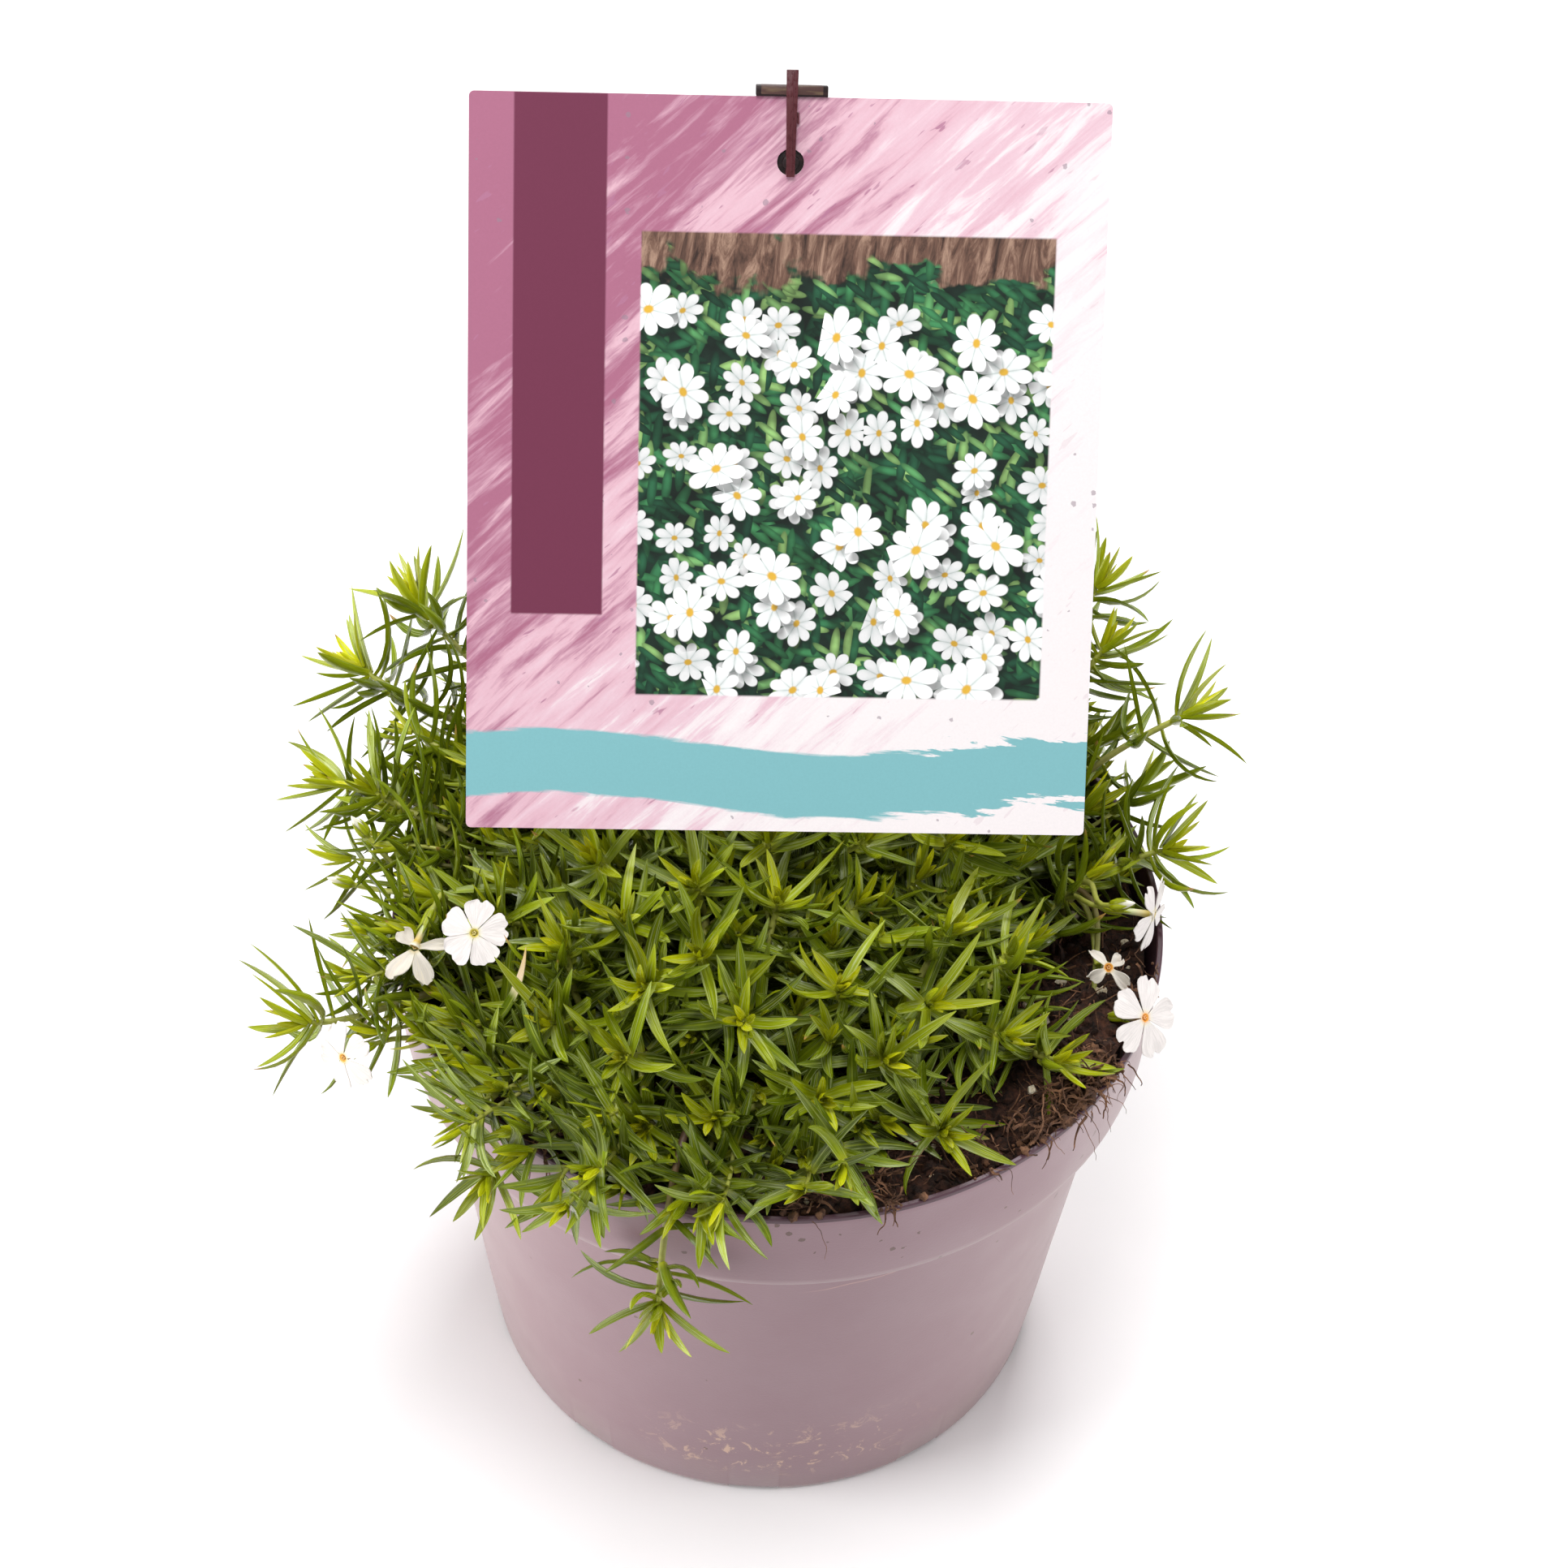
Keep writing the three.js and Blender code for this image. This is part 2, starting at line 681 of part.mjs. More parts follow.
// The arc of a leaf: it turns evenly from its first angle off the stem to its last.
function leafArc(start, along, out, length, firstAngle, lastAngle) {
  const turn = lastAngle - firstAngle;
  return (share) => {
    const angle = firstAngle + turn * share;
    const forward = (Math.sin(angle) - Math.sin(firstAngle)) / turn;
    const outward = (Math.cos(firstAngle) - Math.cos(angle)) / turn;
    return {
      point: start.clone().addScaledVector(along, length * forward).addScaledVector(out, length * outward),
      heading: along.clone().multiplyScalar(Math.cos(angle)).addScaledVector(out, Math.sin(angle)),
      face: along.clone().multiplyScalar(Math.sin(angle)).addScaledVector(out, -Math.cos(angle)),
    };
  };
}

function leafHalfWidth(share, width) {
  const beyond = (share - leaf.widest) / (1 - leaf.widest);
  const fullness = share < leaf.widest ? mix(0.6, 1, share / leaf.widest) : mix(1, 0.1, beyond);
  return (fullness * width) / 2;
}

// ---- keeping shoots clear of each other, the pot, the soil and the label ----

const taken = []; // beads strung along every stem and leaf so far, with their owners
const footBeads = 3; // of the ten along a leaf

function clearOfPot({ center, radius }) {
  const out = Math.hypot(center.x, center.y);
  const margin = radius + leaf.gap;
  if (center.z > pot.height + margin) return true;
  if (out > potOuterRadius(center.z) + margin) return true;
  const above = center.z > soilHeight(center.x, center.y) + margin + 2 * clearance;
  return above && out < potInnerRadius(center.z) - margin;
}

function clearOfCard({ center, radius }) {
  const local = center.clone().applyMatrix4(cardInverse);
  const margin = radius + leaf.gap;
  return Math.abs(local.y) > card.thickness / 2 + margin
    || Math.abs(local.x) > card.width / 2 + margin
    || Math.abs(local.z) > card.height / 2 + margin;
}

function beadString(beads, owner) {
  const around = new THREE.Sphere().setFromPoints(beads.map((bead) => bead.center));
  around.radius += 2;
  return { beads, around, ...owner };
}

const near = (bead, other, gap) => bead.center.distanceTo(other.center) < bead.radius + other.radius + gap;

// Near its foot a leaf may be close to its own stem and to the feet of its neighbours there.
function touches(grown, other) {
  if (!grown.around.intersectsSphere(other.around)) return false;
  const kin = grown.curve === other.curve;
  const gap = kin ? 0 : leaf.gap;
  return grown.beads.some((bead, i) => other.beads.some((nearby, k) => {
    const atFeet = kin && i < footBeads && (k < footBeads || !other.isLeaf);
    return !atFeet && near(bead, nearby, gap);
  }));
}

function isClear(one) {
  return one.beads.every((bead) => clearOfPot(bead) && clearOfCard(bead))
    && !taken.some((other) => touches(one, other));
}

function beadsAlong(curve, radius) {
  const count = Math.ceil(curve.getLength() / 1.5);
  return curve.getSpacedPoints(count).map((center) => new THREE.Sphere(center, radius));
}

function leafBeads(arc, width) {
  const shares = Array.from({ length: 10 }, (_, i) => (i + 1) / 10);
  return shares.map((share) => {
    const radius = Math.max(leafHalfWidth(share, width), leaf.thickness / 2);
    return new THREE.Sphere(arc(share).point, radius);
  });
}

function petalBeads(flower) {
  const turn = facing(flower.facing);
  const beads = [new THREE.Sphere(vector(0, 0, 0), 2 * tube.radius)];
  for (let i = 0; i < flower.petals; i += 1) {
    const way = degrees(flower.roll + (360 * i) / flower.petals);
    [0.35, 0.6, 0.85].forEach((share) => {
      const out = share * flower.petalLength;
      const center = vector(out * Math.cos(way), out * Math.sin(way), -flower.curl * out * share);
      beads.push(new THREE.Sphere(center, 0.4 * flower.petalWidth));
    });
  }
  beads.forEach((bead) => bead.center.applyQuaternion(turn).add(vector(...flower.at)));
  return beads;
}

stems.forEach(({ curve }) => taken.push(beadString(beadsAlong(curve, stem.radius), { curve })));
flowers.forEach((flower) => taken.push(beadString(petalBeads(flower), {})));
const stakeLine = new THREE.CatmullRomCurve3(stakePath.getPoints(30));
taken.push(beadString(beadsAlong(stakeLine, stakeReach), {}));

// One leaf on a side of its stem, left out where it can't be turned clear.
function growLeaf(one, pair, side) {
  const { curve, draw } = one;
  const share = 1 - pair.down / curve.getLength();
  const ring = one.rings[one.marks.findIndex((mark) => mark.pair === pair)];
  const straight = side % 2 === 0 ? ring.front : ring.side;
  const out = straight.clone().multiplyScalar(side === 1 || side === 2 ? -1 : 1);
  const turn = draw(-stray.turn, stray.turn);
  const length = (one.tip.leafLength ?? leaf.length) * pair.size * draw(stray.shortest, stray.longest);
  const firstAngle = degrees(0.75 * pair.angle + draw(-stray.firstAngle, stray.firstAngle));
  const lastAngle = degrees(1.15 * pair.angle + draw(-stray.lastAngleUp, stray.lastAngleDown));
  const width = leaf.width * mix(0.75, 1, pair.size);
  const start = curve.getPointAt(share).addScaledVector(out, leaf.footSink * ring.reach);
  dodges.some((dodge) => {
    const way = out.clone().applyAxisAngle(ring.along, degrees(turn + dodge));
    const arc = leafArc(start, ring.along, way, length, firstAngle, lastAngle);
    const beads = beadString(leafBeads(arc, width), { curve, isLeaf: true });
    if (!isClear(beads)) return false;
    taken.push(beads);
    one.leaves.set(pair, [...(one.leaves.get(pair) ?? []), { side, arc, width }]);
    return true;
  });
}

// The outer pairs go first, at every tip in turn, so that each tip keeps its share.
leafPairs.toReversed().forEach((pair, order) => {
  stems.filter(({ marks }) => marks.some((mark) => mark.pair === pair)).forEach((one) => {
    growLeaf(one, pair, order % 2);
    growLeaf(one, pair, (order % 2) + 2);
  });
});

// ---- the skin of a stem with its leaves ----

// A closed skin, put together ring by ring.
class Skin {
  points = [];

  faces = [];

  ring(corners) {
    return corners.map((corner) => this.points.push(corner) - 1);
  }

  quad(a, b, c, d) {
    this.faces.push(a, b, c, a, c, d);
  }

  // Four walls from one ring of four corners to the next.
  walls(from, to) {
    [1, 2, 3, 0].forEach((next, i) => this.quad(from[i], from[next], to[next], to[i]));
  }

  spike(from, end) {
    const [tip] = this.ring([end]);
    [1, 2, 3, 0].forEach((next, i) => this.faces.push(from[i], from[next], tip));
  }

  geometry() {
    const made = new THREE.BufferGeometry().setFromPoints(this.points);
    made.setIndex(this.faces);
    return made;
  }
}

// A leaf raised from a facet of its stem: a flat-topped keel that runs out to a point.
function raiseLeaf(skin, facet, { arc, width }) {
  const { point, heading, face } = arc(leaf.widest);
  const side = face.clone().cross(heading).multiplyScalar(width / 2);
  const up = face.clone().multiplyScalar(leaf.thickness / 2);
  const corner = (across, above) => point.clone().addScaledVector(side, across).addScaledVector(up, above);
  const middle = skin.ring([
    corner(-leaf.keel, -1),
    corner(leaf.keel, -1),
    corner(1, leaf.topShare),
    corner(-1, leaf.topShare),
  ]);
  skin.walls(facet, middle);
  skin.spike(middle, arc(1).point);
}

// The skin of one stem, tip first, with its leaves raised from its facets.
function stemSkin(one) {
  const skin = new Skin();
  const rings = one.rings.map(({ corners }) => skin.ring(corners));
  if (one.isMain) {
    const foot = rings.at(-1).map((index) => skin.points[index].clone());
    foot.forEach((corner) => corner.setZ(corner.z - stem.depth - stem.rise));
    rings.push(skin.ring(foot));
  }
  if (one.tip) skin.spike(rings[0], one.curve.getPointAt(1));
  else skin.quad(...rings[0]);
  skin.quad(...rings.at(-1).toReversed());
  for (let i = 1; i < rings.length; i += 1) {
    const leaves = one.leaves.get(one.marks[i]?.pair) ?? [];
    [1, 2, 3, 0].forEach((next, side) => {
      const facet = [rings[i][side], rings[i][next], rings[i - 1][next], rings[i - 1][side]];
      const grown = leaves.find((candidate) => candidate.side === side);
      if (grown) raiseLeaf(skin, facet, grown);
      else skin.quad(...facet);
    });
  }
  return skin.geometry();
}

function makeShoot(shoot) {
  return joined(stems.filter((one) => one.shoot === shoot).map((one) => solid(stemSkin(one))));
}

// ---- flowers ----

// The petals' outline in one line round the middle: each widens from a claw to a notched end.
function petalOutline({ petals, petalLength, petalWidth, notch, roll }) {
  const half = petalWidth / 2;
  const side = [
    [petal.claw, -0.7 * petal.claw],
    [0.45 * petalLength, -0.72 * half],
    [0.78 * petalLength, -half],
    [petalLength, -0.55 * half],
  ];
  const outline = [...side, [petalLength - notch, 0], ...side.toReversed().map(([x, y]) => [x, -y])];
  const points = [];
  for (let i = 0; i < petals; i += 1) {
    const turn = degrees(roll + (360 * i) / petals);
    outline.forEach(([x, y]) => points.push(new THREE.Vector2(x, y).rotateAround(new THREE.Vector2(), turn)));
  }
  return new THREE.Shape(points);
}

// The petals and their tube. The face looks along +Z before it is turned to its place.
function makeCorolla(flower) {
  const { petalLength, tubeLength, curl } = flower;
  const blades = new THREE.ExtrudeGeometry(petalOutline(flower), {
    depth: petal.thickness,
    bevelEnabled: false,
  });
  reshape(blades.translate(0, 0, -petal.thickness / 2), (point) => {
    const out = Math.hypot(point.x, point.y);
    point.z -= curl * out * (out / petalLength);
  });
  const throat = new THREE.CylinderGeometry(tube.radius, tube.footRadius, tubeLength, tube.sides);
  throat.rotateX(Math.PI / 2).translate(0, 0, -tubeLength / 2);
  return joined([throat, blades].map(solid));
}

// ---- the whole plant ----

const group = new THREE.Group();

function addNode(name, made, material) {
  const mesh = new THREE.Mesh(geometryOf(made), material);
  mesh.name = name;
  group.add(mesh);
  return mesh;
}

const holes = shoots.map((shoot) => soilHole(...rootOf(shoot), stem.radius, stem.depth, 4));
holes.push(soilHole(stakeFootX, stake.footY, stakeReach, stake.buried, 6));

addNode('pot', makePot(), materials.pot);
addNode('soil', makeSoil(holes), materials.soil);
shoots.forEach((shoot) => addNode(shoot.name, makeShoot(shoot), materials.foliage));
flowers.forEach((flower) => {
  const corolla = addNode(flower.name, makeCorolla(flower), materials.petal);
  corolla.quaternion.copy(facing(flower.facing));
  corolla.position.set(...flower.at);
});
addNode('label_card', makeCard(), materials.card).applyMatrix4(cardPlace);
addNode('label_stake', makeStake(), materials.stake);

export default group;
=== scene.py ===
import math
import bmesh
import bpy
import numpy as np
from mathutils import Matrix, Vector, noise


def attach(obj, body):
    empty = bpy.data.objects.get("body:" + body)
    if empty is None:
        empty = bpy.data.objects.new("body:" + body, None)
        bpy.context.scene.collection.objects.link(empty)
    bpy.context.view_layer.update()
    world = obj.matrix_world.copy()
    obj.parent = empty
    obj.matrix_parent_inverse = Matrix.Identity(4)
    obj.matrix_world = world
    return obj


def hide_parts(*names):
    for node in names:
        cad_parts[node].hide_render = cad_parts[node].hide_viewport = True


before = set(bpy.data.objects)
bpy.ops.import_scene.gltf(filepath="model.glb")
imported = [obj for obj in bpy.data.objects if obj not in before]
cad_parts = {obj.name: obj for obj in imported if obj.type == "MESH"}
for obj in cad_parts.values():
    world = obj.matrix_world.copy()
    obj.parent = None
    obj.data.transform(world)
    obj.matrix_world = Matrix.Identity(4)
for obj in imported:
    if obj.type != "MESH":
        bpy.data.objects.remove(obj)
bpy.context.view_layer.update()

mm = 0.001  # every size below is in millimetres, and becomes metres when a mesh is made
goldenTurn = math.pi * (3 - math.sqrt(5))  # from one seed of a sunflower to the next
print("frame loaded")


# ---- small helpers ----

def unit(way):
    way = np.array(way, float)
    return way / np.linalg.norm(way)


def unitRows(ways, least=0.0):
    return ways / (np.linalg.norm(ways, axis=-1, keepdims=True) + least)


def mix(low, high, share):
    return low + (high - low) * share


# a repeatable stream of numbers, each between two limits
def seededDraws(seed):
    state = (seed + 1) * 7919

    def draw(low=0.0, high=1.0):
        nonlocal state
        state = state * 48271 % 2147483647
        return low + (high - low) * state / 2147483647

    draw()
    draw()
    return draw


# a vector turned about an axis
def turned(way, axis, angle):
    return (way * math.cos(angle) + np.cross(axis, way) * math.sin(angle)
            + axis * np.dot(axis, way) * (1 - math.cos(angle)))


# how far along a line each of its points lies
def runAlong(points):
    return np.concatenate([[0], np.cumsum(np.linalg.norm(np.diff(points, axis=0), axis=1))])


def ringAngles(count):
    return np.linspace(0, 2 * math.pi, count, endpoint=False)


# adds a node and gives its outputs; an input is a value, or the socket that feeds it
def addNode(tree, kind, inputs=None, **settings):
    node = tree.nodes.new(kind)
    for name, value in settings.items():
        setattr(node, name, value)
    for name, value in (inputs or {}).items():
        value = getattr(value, "socket", value)
        if isinstance(value, bpy.types.NodeSocket):
            tree.links.new(value, node.inputs[name])
        else:
            node.inputs[name].default_value = value
    return node.outputs


# a value in a node tree: sums, ranges and ramps made with it become nodes
class Value:
    def __init__(self, socket):
        self.socket, self.tree = socket, socket.id_data

    def node(self, kind, output, inputs, **settings):
        return Value(addNode(self.tree, "ShaderNode" + kind, inputs, **settings)[output])

    def math(self, operation, other=0.0):
        return self.node("Math", 0, {0: self, 1: other}, operation=operation)

    def __add__(self, other):
        return self.math("ADD", other)

    def __sub__(self, other):
        return self.math("SUBTRACT", other)

    def __mul__(self, other):
        return self.math("MULTIPLY", other)

    def __lt__(self, other):
        return self.math("LESS_THAN", other)

    def __gt__(self, other):
        return self.math("GREATER_THAN", other)

    def ranged(self, low, high, toLow=0.0, toHigh=1.0, curve="SMOOTHSTEP"):
        limits = {"From Min": low, "From Max": high, "To Min": toLow, "To Max": toHigh}
        return self.node("MapRange", "Result", {"Value": self, **limits}, interpolation_type=curve)

    def within(self, low, high, soft=0.0015):
        rise = self.ranged(low - soft, low + soft, 0, 1, "LINEAR")
        return rise * self.ranged(high - soft, high + soft, 1, 0, "LINEAR")

    def ramp(self, *stops):
        color = self.node("ValToRGB", "Color", {"Fac": self})
        elements = color.socket.node.color_ramp.elements
        for i, (place, hexColor) in enumerate(stops):
            element = elements[i] if i < 2 else elements.new(place)
            element.position, element.color = place, tint(hexColor)
        return color

    def parts(self, kind="XYZ"):
        return [Value(socket) for socket in addNode(self.tree, "ShaderNodeSeparate" + kind, {0: self})]

    def mapped(self, **inputs):
        return self.node("Mapping", 0, {"Vector": self, **inputs})

    def stretched(self, stretch, turn):
        return self.mapped(Rotation=(0, 0, turn)).mapped(Scale=stretch)

    def noise(self, scale, detail=3.0, roughness=0.55, distortion=0.0):
        return self.node("TexNoise", "Fac", {"Vector": self, "Scale": scale, "Detail": detail,
                                             "Roughness": roughness, "Distortion": distortion})

    def bumped(self, strength, distance):
        return self.node("Bump", "Normal", {"Height": self, "Strength": strength, "Distance": distance})


# a node group and its inputs; each socket has a kind, or a number that a plain one starts at
def newTree(name, family, inputs, outputs):
    tree = bpy.data.node_groups.new(name, family + "NodeTree")
    for way, sockets in (("INPUT", inputs), ("OUTPUT", outputs)):
        for label, kind in sockets.items():
            plain = isinstance(kind, (int, float))
            socket = tree.interface.new_socket(label, in_out=way,
                                               socket_type="NodeSocket" + ("Float" if plain else kind))
            if plain:
                socket.default_value = kind
    return tree, {socket.name: Value(socket) for socket in addNode(tree, "NodeGroupInput")}


def meshObject(name, points, edges=(), faces=()):
    mesh = bpy.data.meshes.new(name)
    mesh.from_pydata([tuple(point) for point in np.asarray(points, float) * mm], list(edges), list(faces))
    thing = bpy.data.objects.new(name, mesh)
    bpy.context.scene.collection.objects.link(thing)
    return thing


def setAttribute(mesh, name, values):
    values = np.asarray(values, np.float32)
    kind, field = ("FLOAT_VECTOR", "vector") if values.ndim == 2 else ("FLOAT", "value")
    mesh.attributes.new(name, kind, "POINT").data.foreach_set(field, values.ravel())


# the object's modifiers made into its own plain mesh
def settle(thing):
    graph = bpy.context.evaluated_depsgraph_get()
    plain = bpy.data.meshes.new_from_object(thing.evaluated_get(graph))
    thing.modifiers.clear()
    thing.data = plain
    plain.name = thing.name
    return thing


# a tree's shape on a piece; the values are the tree's inputs, set by their identifiers
def shapedBy(piece, tree, **values):
    modifier = piece.modifiers.new(tree.name, "NODES")
    modifier.node_group = tree
    for item in tree.interface.items_tree:
        label = item.name.replace(" ", "_")
        if item.in_out == "INPUT" and label in values:
            modifier[item.identifier] = values[label]
    return settle(piece)


# a finished piece: it rides on the part and stands for its CAD nodes, which are hidden
def finishPiece(thing, nodes=()):
    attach(thing, "root")
    if nodes:
        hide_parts(*nodes)


# ---- lines swept with a section: leaves, stems, fibres and the stake ----

# one output of a new geometry node
def shaping(tree, kind, inputs=None, output=0, **settings):
    return addNode(tree, "GeometryNode" + kind, inputs, **settings)[output]


def isOver(tree, value, limit):
    return addNode(tree, "FunctionNodeCompare", {0: value, 1: limit},
                   data_type="FLOAT", operation="GREATER_THAN")["Result"]


# every tree ends in real geometry with its finish
def endTree(tree, geometry, finish):
    real = shaping(tree, "RealizeInstances", {"Geometry": geometry})
    dressed = shaping(tree, "SetMaterial", {"Geometry": real, "Material": finish})
    addNode(tree, "NodeGroupOutput", {"Geometry": dressed})
    return tree


# lines carry a point, a sideways direction and a half width at each step, and any other attribute
def sweepTree():
    tree, given = newTree("sweepAlongLines", "Geometry",
                          {"Geometry": "Geometry", "Section": "Object", "Finish": "Material",
                           "Sharp Angle": "Float"}, {"Geometry": "Geometry"})
    sideways = shaping(tree, "InputNamedAttribute", {"Name": "sideways"}, "Attribute", data_type="FLOAT_VECTOR")
    halfWidth = shaping(tree, "InputNamedAttribute", {"Name": "halfWidth"}, "Attribute", data_type="FLOAT")
    lines = shaping(tree, "MeshToCurve", {"Mesh": given["Geometry"]})
    faced = shaping(tree, "SetCurveNormal", {"Curve": lines, "Normal": sideways}, mode="FREE")
    section = shaping(tree, "ObjectInfo", {"Object": given["Section"]}, "Geometry")
    loop = shaping(tree, "MeshToCurve", {"Mesh": section})
    swept = shaping(tree, "CurveToMesh",
                    {"Curve": faced, "Profile Curve": loop, "Scale": halfWidth, "Fill Caps": True})
    smooth = shaping(tree, "SetShadeSmooth", {"Geometry": swept, "Shade Smooth": True}, domain="FACE")
    sharp = isOver(tree, shaping(tree, "InputMeshEdgeAngle", output="Unsigned Angle"), given["Sharp Angle"])
    creased = shaping(tree, "SetShadeSmooth", {"Geometry": smooth, "Selection": sharp, "Shade Smooth": False},
                      domain="EDGE")
    return endTree(tree, creased, given["Finish"])


def sectionObject(name, corners, **attributes):
    loop = [(i, (i + 1) % len(corners)) for i in range(len(corners))]
    section = meshObject(name, [(x / mm, y / mm, 0) for x, y in corners], loop)
    for label, values in attributes.items():
        setAttribute(section.data, label, values)
    return section


# lines as one mesh of edges; every label of a line but its points becomes an attribute
def lineObject(name, lines):
    starts = np.cumsum([0] + [len(line["points"]) for line in lines])
    edges = [(i, i + 1) for first, last in zip(starts, starts[1:]) for i in range(first, last - 1)]
    piece = meshObject(name, np.concatenate([line["points"] for line in lines]), edges)
    for label in lines[0]:
        if label != "points":
            scale = mm if label == "halfWidth" else 1
            setAttribute(piece.data, label, np.concatenate([line[label] for line in lines]) * scale)
    return piece


# a shoot's lines: those marked as leaves get the leaf section, the others the stem section
def shootTree():
    tree, given = newTree("growShoot", "Geometry",
                          {"Geometry": "Geometry", "Leaf Section": "Object", "Stem Section": "Object",
                           "Leaf Finish": "Material", "Stem Finish": "Material", "Sharp Angle": "Float"},
                          {"Geometry": "Geometry"})
    isLeaf = shaping(tree, "InputNamedAttribute", {"Name": "isLeaf"}, "Attribute", data_type="FLOAT")
    split = addNode(tree, "GeometryNodeSeparateGeometry",
                    {"Geometry": given["Geometry"], "Selection": isOver(tree, isLeaf, 0.5)}, domain="POINT")
    both = shaping(tree, "JoinGeometry")
    for part, kind in (("Selection", "Leaf"), ("Inverted", "Stem")):
        swept = shaping(tree, "Group", {"Geometry": split[part], "Section": given[f"{kind} Section"],
                                        "Finish": given[f"{kind} Finish"], "Sharp Angle": given["Sharp Angle"]},
                        node_tree=sweeping)
        tree.links.new(swept, both.node.inputs["Geometry"])
    addNode(tree, "NodeGroupOutput", {"Geometry": both})
    return tree


# small pieces strewn over a surface, thicker where its share attribute is high
def strewTree():
    tree, given = newTree("strewOverSurface", "Geometry",
                          {"Geometry": "Geometry", "Pieces": "Collection", "Density": "Float", "Smallest": "Float",
                           "Largest": "Float", "Seed": "Int", "Finish": "Material"},
                          {"Geometry": "Geometry"})
    share = Value(shaping(tree, "InputNamedAttribute", {"Name": "share"}, "Attribute", data_type="FLOAT"))
    points = shaping(tree, "DistributePointsOnFaces",
                     {"Mesh": given["Geometry"], "Density": share * given["Density"], "Seed": given["Seed"]})
    pieces = shaping(tree, "CollectionInfo",
                     {"Collection": given["Pieces"], "Separate Children": True, "Reset Children": True})
    draw = Value(addNode(tree, "FunctionNodeRandomValue", {2: 0.0, 3: 1.0, "Seed": given["Seed"]},
                         data_type="FLOAT")[1])
    size = addNode(tree, "ShaderNodeMapRange",  # most of them are small
                   {"Value": draw.math("POWER", 2.5), "To Min": given["Smallest"], "To Max": given["Largest"]})
    turn = addNode(tree, "FunctionNodeRandomValue", {0: (0, 0, 0), 1: (6.28, 6.28, 6.28)},
                   data_type="FLOAT_VECTOR")
    strewn = shaping(tree, "InstanceOnPoints",
                     {"Points": points, "Instance": pieces, "Pick Instance": True, "Rotation": turn[0],
                      "Scale": size["Result"]})
    return endTree(tree, strewn, given["Finish"])


sweeping = sweepTree()
growing = shootTree()
strewing = strewTree()

# the channelled section of a leaf, and round sections for stems and fibres
leafSection = sectionObject("leafSection",
                            [(-1, 0.26), (-0.5, -0.26), (0, -0.48), (0.5, -0.26), (1, 0.26), (0, -0.14)],
                            across=[-1, -0.5, 0, 0.5, 1, 0], under=[0, 1, 1, 1, 0, 0])
stemSection = sectionObject("stemSection", [(math.cos(angle), math.sin(angle)) for angle in ringAngles(8)])
fibreSection = sectionObject("fibreSection", [(1, 0), (-0.5, 0.8), (-0.5, -0.8)])


# ---- the plant: where its shoots stand ----

plant = {
    "stemRadius": 1.25,
    "tipRadius": 1.0,
    "stalkShare": 0.8,  # a flower stalk's radius beside a leafy stem's
    "rise": 2,
    "leafLength": 17.5,
    "leafStretch": 1.17,
    "leafWidth": 2.8,
    "leafRoom": 0.875,  # a leaf is tested this much narrower than it is
    "bend": 150,  # degrees between the most drooping leaf and the most rising one
    "inward": 95,  # how many of them go to the rising side
    "leafGap": 0.45,
    "openedPart": 20,  # how much of a hanging shoot's end turns its leaves towards the light
    "footSink": 0.7,
    "footHeight": 1.7,
    "bareFoot": 5,
    "matMiddle": (-5, 6),
    "matTop": 190,
    "matEdge": 151,
    "matReach": 92,
    "matLean": 1.05,
    "tipSpacing": 16.2,
    "candidates": 52,
    "pairWithin": 26,
    "rootSpread": 0.74,
    "bareFrom": 58,  # nothing grows further out than this between the two bearings
    "bareBearings": (-62, 2),
    "arch": 0.42,
    "forkAt": 0.55,
    "lowestStalk": 0.7,
    "stalkStep": 0.07,
    "calyxFloor": 1.5,
    "clearance": 0.3,
    "deadLeafFoot": (-66.3, -47.5, 155.1),
    "deadLeafEnd": (-57.8, -45.5, 180.4),
    "petals": 5,
    "clearAhead": (0, 3, 6, 9, 12),  # no leaf grows this close before a petal
}
pot = {
    "height": 146,
    "baseRadius": 72.5,
    "shoulderRadius": 87,
    "collarHeight": 28.5,
    "collarFootRadius": 93.4,
    "rimRadius": 95,
    "wall": 1.6,
}
soil = {"height": 140.5, "fallToRight": 0.034, "lump": 1.5}
card = {"width": 143, "height": 168, "thickness": 0.6, "corner": 1.2, "holeRadius": 3, "holeDrop": 14.4}
cardPlace = (Matrix.Translation((-3.2, 19.1, 275)) @ Matrix.Rotation(math.radians(3), 4, "Z")
             @ Matrix.Rotation(math.radians(-33.3), 4, "X") @ Matrix.Rotation(math.radians(0.5), 4, "Y"))
potFoot = pot["height"] - pot["collarHeight"]


def potOuterRadius(z):
    if z > potFoot:
        return mix(pot["collarFootRadius"], pot["rimRadius"], (z - potFoot) / pot["collarHeight"])
    return mix(pot["baseRadius"], pot["shoulderRadius"], max(z, 0) / potFoot)


def soilHeight(x, y):
    broad = np.sin(0.071 * x + 0.6) * np.cos(0.083 * y - 0.4)
    fine = 0.6 * np.sin(0.19 * x - 0.12 * y) * np.cos(0.17 * y + 0.09 * x)
    return soil["height"] - soil["fallToRight"] * x + soil["lump"] * (broad + fine)


def onMat(x, y):
    dx, dy = x - plant["matMiddle"][0], y - plant["matMiddle"][1]
    out = math.hypot(dx, dy) / plant["matReach"]
    lean = plant["matLean"] / plant["matReach"]
    height = mix(plant["matTop"], plant["matEdge"], out * out)
    return {"at": (x, y, height), "way": (dx * lean, dy * lean, 1)}


def longShoot(name, root, at, way, leafLength, arch=plant["arch"], lift=0, opening=(0, 0, 0)):
    tip = {"at": at, "way": way, "leafLength": leafLength, "arch": arch, "lift": lift, "opening": opening}
    return {"name": name, "root": root, "tips": [tip]}


